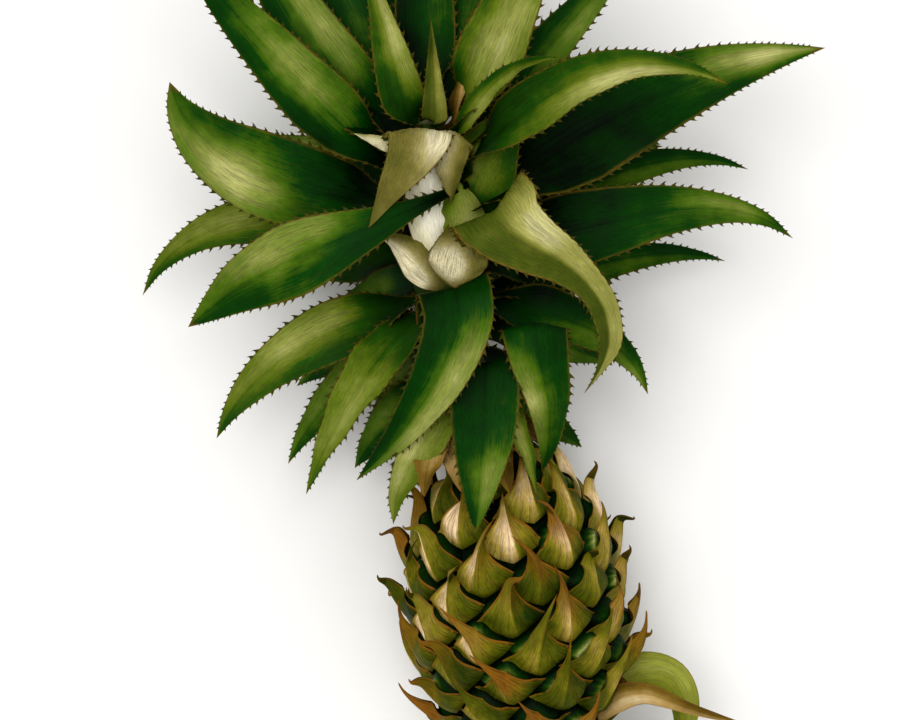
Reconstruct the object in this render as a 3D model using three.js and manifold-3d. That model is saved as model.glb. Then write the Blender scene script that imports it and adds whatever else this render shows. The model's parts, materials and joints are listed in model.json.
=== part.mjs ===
// Pineapple: the ripe fruit with its leafy crown, cut from the plant with a short
// length of stalk and laid down on its side. Millimetres, +Z up. The cut end of the
// stalk points to -Y and the tip of the crown to +Y. The origin is under the middle
// of the whole, on the surface that the fruit lies on.
import * as THREE from 'three';
import { ConvexHull } from 'three/addons/math/ConvexHull.js';
import Module from 'manifold-3d';

const wasm = await Module();
wasm.setup();

// ---- driving dimensions ---------------------------------------------------

const GAP = 0.3; // clear gap kept round the stalk, the core and the fruit
const LEAF_GAP = 0.5; // and round a leaf, whose twisted blade is less exact
const UP = new THREE.Vector3(0, 0, 1);
const UPRIGHT = 0.05; // level part of a unit direction under which it counts as upright

// The fruit is a barrel whose axis leans to the left and climbs towards the crown. The
// points of the eyes under it are pressed flat on the floor, which is at z = 0.
const FRUIT = {
  middle: new THREE.Vector3(34.2, -126.5, 51.6),
  lean: 10, // degrees from +Y towards -X
  climb: 9, // degrees above the level
  halfLength: 76,
  radius: 50, // out to the shoulder of the eyes
  fullness: 2.3, // 2 is an ellipsoid, more is a squarer barrel
  eyes: 84,
  turn: 12, // degrees that the spiral of eyes starts at
  tipHeight: 6, // an eye's point stands this far proud of the barrel
  tipLean: 6, // and this far towards the crown
  valleyDepth: 3, // the furrow between eyes lies this far under the barrel
  slices: 2000, // steps in which the barrel's area is added up
};
const GOLDEN_ANGLE = 137.50776;

// The stalk is round and straight, and its end is cut square.
const STALK = { radius: 14, length: 46, inside: 6, sides: 16 };

// The crown's core is bent: it leaves the fruit's top, a little left of the axis, and
// rises to the tip.
const CORE = {
  radius: 15,
  tipRadius: 7,
  inside: 23, // its foot reaches this far back, into the top of the fruit
  taperFrom: 0.5, // share of its length at which it starts to narrow
  sides: 10,
  steps: 8,
  foot: new THREE.Vector3(10, -43.5, 67.5),
  knee: new THREE.Vector3(-6, 34, 84),
  tip: new THREE.Vector3(-10, 118, 95),
};

// Every leaf is a thin channelled blade.
const BLADE = {
  steps: 11,
  thickness: 2.4,
  channel: 0.1, // depth of the channel as a share of the width
  neck: 0.62, // width at the foot as a share of the widest
  belly: 0.36, // where along the leaf it is widest
  point: 1.5, // how long it stays broad before it narrows to its tip
  root: 9, // its foot starts this far from the core's centre line
  floorGap: -1, // height of the midrib to which a leaf that reaches the floor sinks
  floorEase: 28, // length over which a falling leaf flattens out above the floor
  turned: 0.4, // share of its length by which a leaf has turned its upper side
  face: 0.9, // how far it turns its upper side to the sky
  fineness: 0.12, // how much slimmer it is towards the tip than a plain taper
  pathSteps: 13, // stretches of a leaf whose course is given by points
  finer: 3, // steps within a stretch in which its upper side is turned
  rootWidth: 0.45, // width at the stem of a leaf with a root, as a share of its neck
};

// Leaves of the crown. `up` is the place along the core, 0 at the fruit and 1 at the
// tip. `side` is the way the leaf leaves the core: 0 faces the sky, 90 the right, -90
// the left and 180 the floor, and `sway` turns its heading by its tip. `bend` holds the
// angle from the core at the foot, the angle at the tip (0 is along the core, 90
// straight out, 180 back towards the fruit) and the power that spreads the change. A
// leaf that folds over has a `path` of points for its midrib instead, and a `root` of
// points from the core to its start, where it lies under others. `rise` is how late it
// widens. A size of the blade that a leaf names itself stands in for the one above.
const CROWN_LEAVES = [
  // the rosette's left side
  { name: 'leaf_left_1', up: 0.73, side: -85, length: 149, width: 43,
    bend: [72, -4, 2.9], belly: 0.5, point: 2.1 },
  { name: 'leaf_left_2', up: 0.66, side: -108, length: 166, width: 30, bend: [76, 160, 2.2] },
  { name: 'leaf_left_3', width: 37, neck: 0.1, belly: 0.58, rise: 2, point: 1.7,
    root: [[-6, 88, 92]],
    path: [[9, 87.5, 103], [-3, 82, 110], [-17.5, 75.5, 115], [-36, 67, 118], [-56, 59, 117],
      [-75, 51, 112], [-105, 36, 98], [-131.5, 16.5, 80]] },
  { name: 'leaf_left_4', up: 0.47, side: -82, length: 131, width: 31,
    bend: [97, 154, 1.8], point: 1.8 },
  { name: 'leaf_left_5', up: 0.38, side: -106, length: 108, width: 26, bend: [113, 150, 1.5] },
  { name: 'leaf_left_6', up: 0.44, side: -46, sway: -18, length: 122, width: 27,
    bend: [98, 150, 0.6], face: 0.6 },
  { name: 'leaf_left_7', width: 37, neck: 0.95, belly: 0.15, point: 1.6, channel: 0.06,
    root: [[-1, 12, 86]],
    path: [[0, 20, 96], [0.5, 31, 107], [1.5, 35.5, 115], [3, 31, 121], [4, 20, 124], [0, 5, 124],
      [-9, -14, 119], [-25, -37, 104], [-47, -60.5, 82]] },
  { name: 'leaf_left_8', width: 22, neck: 0.7, belly: 0.4, root: [[2, 4, 86]],
    path: [[2, -5, 100], [-5, -25, 104], [-16, -46, 99], [-26, -66, 89], [-28.5, -82.5, 80]] },
  { name: 'leaf_left_9', up: 0.12, side: -12, length: 40, width: 16, bend: [100, 175, 0.7], face: 0.5 },
  // leaves that arch over the core and down in front of the fruit
  { name: 'leaf_front_1', width: 34, neck: 0.8, belly: 0.4, point: 1.9, channel: 0.08,
    root: [[9, -22, 82]],
    path: [[14, -16, 92], [16, -5, 101], [17, -2, 107], [17.5, -8, 111], [17, -30, 113],
      [15, -56, 113], [12.5, -86, 112]] },
  { name: 'leaf_front_2', up: 0.22, side: 35, length: 80, width: 15, bend: [80, 182, 0.5], face: 0.2 },
  { name: 'leaf_front_3', width: 33, neck: 0.85, belly: 0.2, point: 1.8, channel: -0.1,
    root: [[9, -16, 79], [27, -8, 85], [40, 0, 91]],
    path: [[44, 7, 96], [43, 15, 107], [42, 18, 115], [42, 14, 121], [45, -3, 120],
      [49, -22, 112], [49, -42, 99], [46, -56.5, 88]] },
  // the rosette's right side
  { name: 'leaf_right_1', up: 0.82, side: 62, length: 174, width: 27, bend: [50, 126, 1.8] },
  { name: 'leaf_right_2', up: 0.69, side: 92, length: 208, width: 49,
    bend: [57, 90, 1.3], face: 0.95, point: 1.7 },
  { name: 'leaf_right_3', up: 0.62, side: 106, length: 164, width: 23, bend: [72, 128, 3] },
  { name: 'leaf_right_4', up: 0.58, side: 88, length: 174, width: 38,
    bend: [81, 154, 4], face: 0.95, point: 1.3 },
  { name: 'leaf_right_5', up: 0.44, side: 108, length: 145, width: 22, bend: [83, 122, 3] },
  { name: 'leaf_right_6', width: 45, neck: 0.9, belly: 0.22, point: 0.62, channel: 0.16,
    root: [[2, 52, 84], [15, 57, 89]],
    path: [[26, 64, 100], [23.5, 70, 112], [22.5, 73.5, 121], [24.5, 71, 127.5],
      [30, 64.5, 129.5], [41, 57, 127.5], [55, 49, 121], [67, 39, 113], [76, 26, 105],
      [79, 10, 98], [75, -4, 93], [67, -17, 89]] },
  { name: 'leaf_right_7', up: 0.44, side: 86, length: 110, width: 28,
    bend: [100, 178, 1.9], face: 0.8 },
  // small leaves folded over the heart, and the pale sheaths beside them
  { name: 'leaf_heart_1', width: 35, neck: 0.9, belly: 0.35, point: 1, channel: -0.08,
    root: [[-11, 94, 93]],
    path: [[-15, 100, 98], [-16, 110, 110], [-16, 114, 121], [-15.5, 110, 127.5],
      [-20, 99, 128], [-30, 83, 125], [-40.5, 64.7, 119]] },
  { name: 'leaf_heart_2', width: 22, neck: 0.9, belly: 0.4, point: 1.8, channel: -0.2,
    root: [[-5, 86, 91]],
    path: [[5, 98, 96], [4, 108, 106], [2.5, 112.5, 113], [1, 109, 119], [0, 99, 118],
      [0, 88, 113], [0.5, 78, 108]] },
  { name: 'leaf_heart_3', width: 20, neck: 0.6, belly: 0.55, point: 3, channel: -0.25,
    path: [[-5, 44, 97], [-9, 58, 101.5], [-12, 72, 105], [-12.5, 86, 107], [-11, 98, 108],
      [-9.5, 106, 107]] },
  { name: 'leaf_heart_4', width: 21, neck: 0.25, belly: 0.45, channel: -0.1,
    path: [[1, 36, 96], [-9, 43, 100.5], [-18, 52, 101], [-27, 59, 99], [-35, 61.5, 96]] },
  { name: 'leaf_heart_5', width: 25, neck: 0.4, belly: 0.6, point: 2.5,
    root: [[1, 76, 92]],
    path: [[5, 68, 99], [5, 58, 101], [4, 48, 104], [3, 40, 109], [2.5, 35, 115]] },
  // leaves that stand up towards the tip of the crown
  { name: 'leaf_top_1', up: 0.78, side: -80, length: 190, width: 34, bend: [42, 34, 1] },
  { name: 'leaf_top_2', up: 0.82, side: -98, length: 188, width: 36, bend: [33, 25, 1] },
  { name: 'leaf_top_3', up: 0.86, side: -122, length: 178, width: 32, bend: [27, 16, 1] },
  { name: 'leaf_top_4', up: 0.9, side: -150, length: 166, width: 26, bend: [14, 6, 1] },
  { name: 'leaf_top_5', up: 0.9, side: -64, length: 106, width: 25, bend: [10, 14, 1] },
  { name: 'leaf_top_6', up: 0.96, side: 178, length: 170, width: 30, bend: [5, 1, 1], face: 0.5 },
  { name: 'leaf_top_7', up: 0.92, side: 16, length: 66, width: 17, bend: [5, 2, 1] },
  { name: 'leaf_top_8', up: 0.93, side: 84, length: 60, width: 9, bend: [16, 8, 1], face: 0.5 },
  { name: 'leaf_top_9', up: 0.9, side: 66, length: 162, width: 34, bend: [27, 31, 1] },
  { name: 'leaf_top_10', up: 0.92, side: 132, length: 164, width: 28, bend: [14, 12, 1] },
  { name: 'leaf_top_11', up: 0.86, side: 96, length: 160, width: 25, bend: [42, 48, 1] },
  { name: 'leaf_top_12', up: 0.88, side: 45, length: 106, width: 11, bend: [34, 98, 1.4] },
];

// Leaves under the core, which bend out along the floor, from the lowest to the highest.
const UNDER_LEAVES = {
  count: 16,
  upFirst: 0.14,
  upLast: 0.86,
  sides: [122, -126, 153, -151], // degrees, taken in turn
  lengthFirst: 72,
  lengthLast: 150,
  width: 27,
  angleFirst: 112, // the first leaf leans back over the fruit
  angleLast: 58,
  droop: 30, // each bends this much further by its tip
  face: 0.95,
};

// Leaves on the stalk, close under the fruit. `up` is mm down the stalk from the fruit.
const STALK_LEAVES = [
  { name: 'stalk_leaf_green', width: 24,
    path: [[57, -204.7, 39], [66, -187, 42.5], [79, -170.5, 46], [92, -161, 50],
      [103, -158.5, 52], [112, -161.5, 52], [118, -170.5, 49], [119.5, -184, 44],
      [117.5, -200, 36], [114, -216, 27]] },
  { name: 'stalk_leaf_dry', width: 14, belly: 0.42, point: 0.9,
    path: [[56, -204.6, 43.5], [64, -191, 52], [75, -178, 60], [87, -170, 67], [98, -168, 71],
      [109, -171, 73], [121, -175.5, 73], [143, -182, 71], [154, -185, 69]] },
  { name: 'stalk_leaf_left', up: 8, side: -74, length: 62, width: 15, bend: [46, 90, 1], face: 0.7 },
  { name: 'stalk_leaf_under_left', up: 12, side: -150, length: 74, width: 19,
    bend: [52, 80, 1], face: 0.5 },
  { name: 'stalk_leaf_under_right', up: 18, side: 112, length: 84, width: 19,
    bend: [62, 118, 1], face: 0.5 },
];

const COLOURS = {
  rind: { color: 0x8a7a2c, roughness: 0.55 },
  stalk: { color: 0x8f9a52, roughness: 0.7 },
  leaf: { color: 0x3f6b22, roughness: 0.45 },
  paleLeaf: { color: 0xaaa66a, roughness: 0.6 },
  dryLeaf: { color: 0xa08440, roughness: 0.75 },
};

// ---- small helpers ---------------------------------------------------------

const radians = THREE.MathUtils.degToRad;
const mix = THREE.MathUtils.lerp;
const smooth = (x) => THREE.MathUtils.smoothstep(x, 0, 1);

// A point that is `along` one axis, `right` along another and `out` along a third.
function offset(from, ...steps) {
  const point = from.clone();
  for (const [direction, distance] of steps) point.addScaledVector(direction, distance);
  return point;
}

// The two directions square to an axis: one as near to the sky as it can be, and right.
function squareFrame(axis) {
  const sky = offset(UP, [axis, -axis.z]).normalize();
  const right = new THREE.Vector3().crossVectors(axis, sky);
  return { sky, right };
}

// The direction at `angle` round an axis, from the sky towards the right.
function around({ sky, right }, angle) {
  return offset(new THREE.Vector3(), [sky, Math.cos(angle)], [right, Math.sin(angle)]);
}

// A closed solid from its corner points and its triangles.
function solidFrom(points, triangles) {
  const vertProperties = new Float32Array(points.flatMap((point) => point.toArray()));
  const triVerts = new Uint32Array(triangles.flat());
  return new wasm.Manifold(new wasm.Mesh({ numProp: 3, vertProperties, triVerts }));
}

// Skins a row of rings with the same number of points, and closes both ends: with a
// fan of triangles at the first ring, and at the last with a fan or on a single point.
// `ridges` are the places in a ring that lie on a blade's midrib. The facets on both
// sides of the blade run out from it alike, so that a twisted blade stays thick.
function skin(rings, tip = null, ridges = []) {
  const sides = rings[0].length;
  const points = rings.flat();
  const triangles = [];
  for (let i = 0; i + 1 < rings.length; i += 1) {
    for (let k = 0; k < sides; k += 1) {
      const a = i * sides + k;
      const b = i * sides + ((k + 1) % sides);
      if (ridges.includes((k + 1) % sides)) {
        triangles.push([a, b, a + sides], [b, b + sides, a + sides]);
      } else {
        triangles.push([a, b, b + sides], [a, b + sides, a + sides]);
      }
    }
  }
  const last = (rings.length - 1) * sides;
  for (let k = 1; k + 1 < sides; k += 1) {
    triangles.push([0, k + 1, k]);
    if (!tip) triangles.push([last, last + k, last + k + 1]);
  }
  if (tip) {
    points.push(tip);
    for (let k = 0; k < sides; k += 1) {
      triangles.push([last + k, last + ((k + 1) % sides), points.length - 1]);
    }
  }
  return solidFrom(points, triangles);
}

// A round ring of points about an axis, counter-clockwise as seen from ahead of it.
function roundRing(centre, axis, radius, sides) {
  const frame = squareFrame(axis);
  const ring = [];
  for (let k = 0; k < sides; k += 1) {
    ring.push(offset(centre, [around(frame, (-2 * Math.PI * k) / sides), radius]));
  }
  return ring.reverse();
}

// Flattens what would reach into the floor.
function onFloor(solid) {
  return solid.trimByPlane(UP.toArray(), 0);
}

// The largest single body of a solid, so that slivers left by a cut are dropped.
function largestBody(solid) {
  const bodies = solid.decompose();
  return bodies.reduce((best, body) => (body.volume() > best.volume() ? body : best));
}

function boxesMeet(a, b) {
  const boxA = a.boundingBox();
  const boxB = b.boundingBox();
  return [0, 1, 2].every((i) => boxA.min[i] <= boxB.max[i] && boxB.min[i] <= boxA.max[i]);
}

// ---- the fruit -------------------------------------------------------------

const fruitAxis = new THREE.Vector3(
  -Math.sin(radians(FRUIT.lean)) * Math.cos(radians(FRUIT.climb)),
  Math.cos(radians(FRUIT.lean)) * Math.cos(radians(FRUIT.climb)),
  Math.sin(radians(FRUIT.climb)),
);
const fruitFrame = squareFrame(fruitAxis);
const fruitFoot = offset(FRUIT.middle, [fruitAxis, -FRUIT.halfLength]);

// Radius of the barrel at a share of its half length, from -1 at the foot to 1.
function barrelRadius(share) {
  return FRUIT.radius * Math.sqrt(Math.max(1 - Math.abs(share) ** FRUIT.fullness, 0));
}

// Heights that cut the barrel's surface into bands of equal area, one for each eye.
function eyeHeights() {
  const slices = FRUIT.slices;
  const area = [0];
  const heightAt = (i) => (2 * i) / slices - 1;
  for (let i = 1; i <= slices; i += 1) {
    const low = barrelRadius(heightAt(i - 1));
    const high = barrelRadius(heightAt(i));
    const slope = Math.hypot(high - low, (2 * FRUIT.halfLength) / slices);
    area.push(area[i - 1] + (low + high) * slope);
  }
  const heights = [];
  let i = 0;
  for (let eye = 0; eye < FRUIT.eyes; eye += 1) {
    const wanted = ((eye + 0.5) / FRUIT.eyes) * area[slices];
    while (area[i] < wanted) i += 1;
    heights.push(heightAt(i));
  }
  return heights;
}

// The eyes' centres on the barrel, up one spiral that turns by the golden angle.
function eyeCentres() {
  return eyeHeights().map((share, eye) => {
    const outward = around(fruitFrame, radians(FRUIT.turn + eye * GOLDEN_ANGLE));
    const along = share * FRUIT.halfLength;
    return offset(FRUIT.middle, [fruitAxis, along], [outward, barrelRadius(share)]);
  });
}

// Outward direction of the barrel at a point on or near it.
function barrelNormal(point) {
  const fromMiddle = point.clone().sub(FRUIT.middle);
  const along = fromMiddle.dot(fruitAxis);
  const share = along / FRUIT.halfLength;
  const across = offset(fromMiddle, [fruitAxis, -along]).divideScalar(FRUIT.radius ** 2);
  const curve = (FRUIT.fullness / 2) * Math.abs(share) ** (FRUIT.fullness - 1);
  return offset(across, [fruitAxis, (Math.sign(share) * curve) / FRUIT.halfLength]).normalize();
}

// The rind: each eye is a low pyramid. Its point stands over the eye's centre, and its
// foot runs through the middles of the facets that span three neighbouring eyes.
function fruitSolid(grow = 0) {
  const centres = eyeCentres();
  const hull = new ConvexHull().setFromPoints(centres);
  const points = centres.map((centre) =>
    offset(centre, [barrelNormal(centre), FRUIT.tipHeight + grow], [fruitAxis, FRUIT.tipLean]),
  );
  const triangles = [];
  for (const face of hull.faces) {
    const edges = [face.edge, face.edge.next, face.edge.prev];
    const corners = edges.map((edge) => centres.indexOf(edge.head().point));
    const middle = new THREE.Vector3();
    for (const corner of corners) middle.addScaledVector(centres[corner], 1 / 3);
    points.push(offset(middle, [barrelNormal(middle), grow - FRUIT.valleyDepth]));
    const valley = points.length - 1;
    for (let k = 0; k < 3; k += 1) triangles.push([corners[k], corners[(k + 1) % 3], valley]);
  }
  return solidFrom(points, triangles);
}

// ---- the stalk and the crown's core ----------------------------------------

function stalkSolid(grow = 0) {
  const ends = [-STALK.length - grow, STALK.inside + grow];
  const rings = ends.map((along) => {
    const centre = offset(fruitFoot, [fruitAxis, along]);
    return roundRing(centre, fruitAxis, STALK.radius + grow, STALK.sides);
  });
  return skin(rings);
}

const coreCurve = new THREE.QuadraticBezierCurve3(CORE.foot, CORE.knee, CORE.tip);

function coreSolid(grow = 0) {
  const footAxis = coreCurve.getTangent(0);
  const start = offset(CORE.foot, [footAxis, -CORE.inside - grow]);
  const rings = [roundRing(start, footAxis, CORE.radius + grow, CORE.sides)];
  for (let i = 0; i <= CORE.steps; i += 1) {
    const u = i / CORE.steps;
    const narrowed = smooth((u - CORE.taperFrom) / (1 - CORE.taperFrom));
    const radius = mix(CORE.radius, CORE.tipRadius, narrowed) + grow;
    rings.push(roundRing(coreCurve.getPoint(u), coreCurve.getTangent(u), radius, CORE.sides));
  }
  return skin(rings);
}

// ---- the leaves ------------------------------------------------------------

// Width of a blade at a share of its length, as a share of its widest.
function bladeWidth(share, leaf) {
  const { neck = BLADE.neck, belly = BLADE.belly, point = BLADE.point, rise = 1 } = leaf;
  if (share < belly) return mix(neck, 1, Math.sin((Math.PI / 2) * (share / belly) ** rise));
  const past = (share - belly) / (1 - belly);
  return (1 - past ** point) * (1 - BLADE.fineness * past);
}

// Keeps a heading from falling faster than the height left over the floor allows.
function levelOut(heading, height, fallback) {
  const steepest = -Math.min(Math.max(height, 0) / BLADE.floorEase, 1);
  if (heading.z >= steepest) return heading;
  const level = new THREE.Vector3(heading.x, heading.y, 0);
  if (level.length() < UPRIGHT) level.set(fallback.x, fallback.y, 0);
  level.normalize();
  return level.multiplyScalar(Math.sqrt(1 - steepest ** 2)).setZ(steepest);
}

// Where a leaf's foot is and how the stem runs there.
function leafFoot(leaf, onStalk) {
  if (onStalk) return { foot: offset(fruitFoot, [fruitAxis, -leaf.up]), axis: fruitAxis };
  return { foot: coreCurve.getPoint(leaf.up), axis: coreCurve.getTangent(leaf.up) };
}

// Stations along a leaf's midrib, each with its point, its heading, the direction of
// its upper side, the direction of its right edge and its width.
function leafStations(leaf, onStalk) {
  if (leaf.path) return pathStations(leaf);
  const { foot, axis } = leafFoot(leaf, onStalk);
  const frame = squareFrame(axis);
  const [start, end, power] = leaf.bend;
  const stations = [];
  const step = leaf.length / BLADE.steps;
  const point = offset(foot, [around(frame, radians(leaf.side)), BLADE.root]);
  for (let i = 0; i <= BLADE.steps; i += 1) {
    const share = i / BLADE.steps;
    const angle = radians(mix(start, end, share ** power));
    const outward = around(frame, radians(leaf.side + (leaf.sway ?? 0) * share));
    const width = leaf.width * bladeWidth(share, leaf);
    const free = offset(new THREE.Vector3(), [axis, Math.cos(angle)], [outward, Math.sin(angle)]);
    const heading = levelOut(free, point.z - BLADE.floorGap, outward);
    const natural = offset(new THREE.Vector3(), [axis, Math.sin(angle)], [outward, -Math.cos(angle)]);
    const face = (leaf.face ?? BLADE.face) * smooth(share / BLADE.turned);
    const upper = turnToSky(natural, heading, face);
    const right = new THREE.Vector3().crossVectors(heading, upper);
    stations.push({ point: point.clone(), heading, upper, right, width });
    point.addScaledVector(heading, step);
  }
  return stations;
}

// Stations along a midrib that goes through given points. The upper side faces the sky
// where the leaf is most level, and turns no more than the midrib does from there.
function pathStations(leaf) {
  const { root = [], path } = leaf;
  const marks = [...root, ...path].map((mark) => new THREE.Vector3(...mark));
  const curve = new THREE.CatmullRomCurve3(marks, false, 'catmullrom');
  const lengths = curve.getLengths();
  const start = Math.round((root.length / (marks.length - 1)) * (lengths.length - 1));
  const lead = lengths[start] / lengths.at(-1);
  const count = BLADE.pathSteps * BLADE.finer;
  const samples = Array.from({ length: count + 1 }, (_, i) => {
    const u = i / count;
    const share = (u - lead) / (1 - lead);
    return { share, point: curve.getPointAt(u), heading: curve.getTangentAt(u) };
  });
  const beyond = samples.filter(({ share }) => share >= 0);
  const steepness = beyond.map(({ heading }) => Math.abs(heading.z));
  const level = count + 1 - beyond.length + steepness.indexOf(Math.min(...steepness));
  for (const way of [-1, 1]) {
    let upper = UP;
    for (let i = level; i >= 0 && i <= count; i += way) {
      const { heading } = samples[i];
      upper = offset(upper, [heading, -upper.dot(heading)]).normalize();
      samples[i].upper = upper;
    }
  }
  const stations = samples.filter((_, i) => i % BLADE.finer === 0);
  return stations.map(({ share, point, heading, upper }) => {
    const right = new THREE.Vector3().crossVectors(heading, upper);
    const rooted = share < 0 ? mix(1, BLADE.rootWidth, -share / (lead / (1 - lead))) : 1;
    const width = leaf.width * bladeWidth(Math.max(share, 0), leaf) * rooted;
    return { point, heading, upper, right, width };
  });
}

// Turns a blade's upper side from its natural direction towards the sky.
function turnToSky(natural, heading, amount) {
  const upper = offset(natural, [heading, -natural.dot(heading)]).normalize();
  const sky = offset(UP, [heading, -heading.z]);
  if (sky.length() > UPRIGHT) upper.lerp(sky.normalize(), amount);
  return offset(upper, [heading, -upper.dot(heading)]).normalize();
}

// A leaf's solid: a chevron section along its stations, down to a single point. Its
// edges are sharp, and a grown one has blunt edges, so that it clears them all round.
function leafSolid(leaf, onStalk, grow = 0) {
  const stations = leafStations(leaf, onStalk);
  const lips = grow > 0 ? [grow, -grow] : [0];
  const rings = stations.slice(0, -1).map(({ point, upper, right, width }) => {
    const half = width / 2 + grow;
    const lift = (leaf.channel ?? BLADE.channel) * width;
    const thick = BLADE.thickness / 2 + grow;
    return [
      offset(point, [upper, thick]),
      ...lips.map((lip) => offset(point, [right, half], [upper, lift + lip])),
      offset(point, [upper, -thick]),
      ...lips.map((lip) => offset(point, [right, -half], [upper, lift - lip])),
    ];
  });
  const tip = stations.at(-1);
  return skin(rings, offset(tip.point, [tip.heading, grow]), [0, 1 + lips.length]);
}

// The leaves under the core, from the named sizes.
function underLeaves() {
  const leaves = UNDER_LEAVES;
  return Array.from({ length: leaves.count }, (_, i) => {
    const share = i / (leaves.count - 1);
    const angle = mix(leaves.angleFirst, leaves.angleLast, share);
    return {
      name: `leaf_under_${i + 1}`,
      up: mix(leaves.upFirst, leaves.upLast, share),
      side: leaves.sides[i % leaves.sides.length],
      length: mix(leaves.lengthFirst, leaves.lengthLast, share),
      width: leaves.width,
      bend: [angle, angle + leaves.droop, 1],
      face: leaves.face,
    };
  });
}

// ---- the whole -------------------------------------------------------------

const pineapple = new THREE.Group();

function addPart(name, solid, finish) {
  const { vertProperties, triVerts } = solid.getMesh();
  const geometry = new THREE.BufferGeometry();
  geometry.setAttribute('position', new THREE.BufferAttribute(vertProperties, 3));
  geometry.setIndex(new THREE.BufferAttribute(triVerts, 1));
  geometry.computeVertexNormals();
  const mesh = new THREE.Mesh(geometry, new THREE.MeshStandardMaterial({ ...finish, metalness: 0 }));
  mesh.name = name;
  pineapple.add(mesh);
}

addPart('stalk', stalkSolid(), COLOURS.stalk);
addPart('crown_core', coreSolid(), COLOURS.stalk);
addPart('fruit', onFloor(fruitSolid().subtract(stalkSolid(GAP)).subtract(coreSolid(GAP))), COLOURS.rind);

// Each leaf is cut back where it would run into the stem, the fruit or an earlier leaf.
const taken = [stalkSolid(GAP), coreSolid(GAP), fruitSolid(GAP)];

function addLeaf(leaf, onStalk, finish) {
  let solid = leafSolid(leaf, onStalk);
  for (const other of taken) {
    if (boxesMeet(solid, other)) solid = solid.subtract(other);
  }
  addPart(leaf.name, largestBody(onFloor(solid)), finish);
  taken.push(leafSolid(leaf, onStalk, LEAF_GAP));
}

for (const leaf of CROWN_LEAVES) {
  addLeaf(leaf, false, leaf.name.startsWith('leaf_heart') ? COLOURS.paleLeaf : COLOURS.leaf);
}
for (const leaf of STALK_LEAVES) {
  addLeaf(leaf, true, leaf.name.endsWith('dry') ? COLOURS.dryLeaf : COLOURS.leaf);
}
for (const leaf of underLeaves()) addLeaf(leaf, false, COLOURS.leaf);

// Centres the whole over the origin, with its lowest points on the floor.
const bounds = new THREE.Box3().setFromObject(pineapple);
const centre = bounds.getCenter(new THREE.Vector3());
pineapple.position.set(-centre.x, -centre.y, -bounds.min.z);

export default pineapple;
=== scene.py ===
"""A ripened pineapple with its leafy crown, cut with a short stalk and lying on its side.

The frame holds the plain solids. This add-on builds what is seen in their place: the
rind with its eyes and long-tipped bracts, the dry scales round the foot of the crown,
the stem, and every leaf with its clasping base, ribs, brown edges and hooked spines.
Lengths are millimetres in the making and metres in the scene.
"""

import json
import math
import random
from dataclasses import dataclass

import bmesh
import bpy
import numpy as np
from bpy.props import FloatProperty, FloatVectorProperty, IntProperty, PointerProperty
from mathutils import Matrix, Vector
from mathutils.bvhtree import BVHTree

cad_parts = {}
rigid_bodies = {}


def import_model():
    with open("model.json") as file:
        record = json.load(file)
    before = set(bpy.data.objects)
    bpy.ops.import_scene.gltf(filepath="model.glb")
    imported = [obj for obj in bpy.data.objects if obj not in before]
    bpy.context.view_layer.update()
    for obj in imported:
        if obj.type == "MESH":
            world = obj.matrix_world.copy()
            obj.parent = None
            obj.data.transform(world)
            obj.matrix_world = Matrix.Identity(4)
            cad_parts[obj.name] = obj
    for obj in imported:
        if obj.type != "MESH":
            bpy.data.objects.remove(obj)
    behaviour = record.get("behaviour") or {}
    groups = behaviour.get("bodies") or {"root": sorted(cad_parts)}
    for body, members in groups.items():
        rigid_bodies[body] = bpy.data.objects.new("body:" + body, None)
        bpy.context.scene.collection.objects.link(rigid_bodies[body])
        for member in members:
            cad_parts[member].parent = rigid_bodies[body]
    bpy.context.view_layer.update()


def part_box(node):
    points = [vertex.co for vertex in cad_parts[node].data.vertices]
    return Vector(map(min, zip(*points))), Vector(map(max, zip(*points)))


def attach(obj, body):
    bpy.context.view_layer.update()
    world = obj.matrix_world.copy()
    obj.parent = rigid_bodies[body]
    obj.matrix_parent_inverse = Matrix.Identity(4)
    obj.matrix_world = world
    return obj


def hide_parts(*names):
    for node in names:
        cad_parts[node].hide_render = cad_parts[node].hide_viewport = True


bl_info = {
    "name": "Pineapple with crown",
    "version": (1, 0, 0),
    "blender": (4, 5, 0),
    "location": "3D View > Sidebar > Pineapple",
    "description": "Builds a pineapple fruit with its leafy crown around a frame of plain solids",
    "category": "Add Mesh",
}

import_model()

# ---- sizes, millimetres ------------------------------------------------------------

MM = 0.001
UP = Vector((0, 0, 1))
GOLDEN_ANGLE = math.radians(137.50776)
FLOOR_CLEARANCE = 0.2
UPRIGHT = 0.05  # level part of a unit direction under which it counts as upright

# The barrel of the fruit, on an axis that leans to the left and climbs to the crown.
FRUIT_MIDDLE = Vector((34.2, -126.5, 51.6))
FRUIT_LEAN = math.radians(10)
FRUIT_CLIMB = math.radians(9)
HALF_LENGTH = 76
BARREL_RADIUS = 50
FULLNESS = 2.3  # how full its ends are, 2 for an ellipsoid
EYES = 84
AREA_STEPS = 2000  # in which the barrel's area is added up
SOLVING_STEPS = 6  # after which a point lies on the barrel
FIRST_EYE_TURN = math.radians(12)

# The stem: the cut stalk below the fruit and the bent core of the crown above it.
STALK_RADIUS = 14
STALK_LENGTH = 46
STALK_INSIDE = 6  # how far it goes up into the fruit
CORE_RADIUS = 15
CORE_TIP_RADIUS = 7
CORE_TAPER_FROM = 0.5  # share of the core up to which it is as wide as at its foot
CORE_INSIDE = 20  # how far it goes down into the fruit
CORE_FOOT = Vector((10, -43.5, 67.5))
CORE_KNEE = Vector((-6, 34, 84))
CORE_TIP = Vector((-10, 118, 95))
DISC_RINGS = (1, 0.93, 0.86, 0.7, 0.5, 0.3, 0.12)  # rings of a cut face, from its rim
DISH_DEPTH = 0.6  # of a cut face
BAST_PLACE = 0.86  # where the darker ring of bast lies

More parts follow.
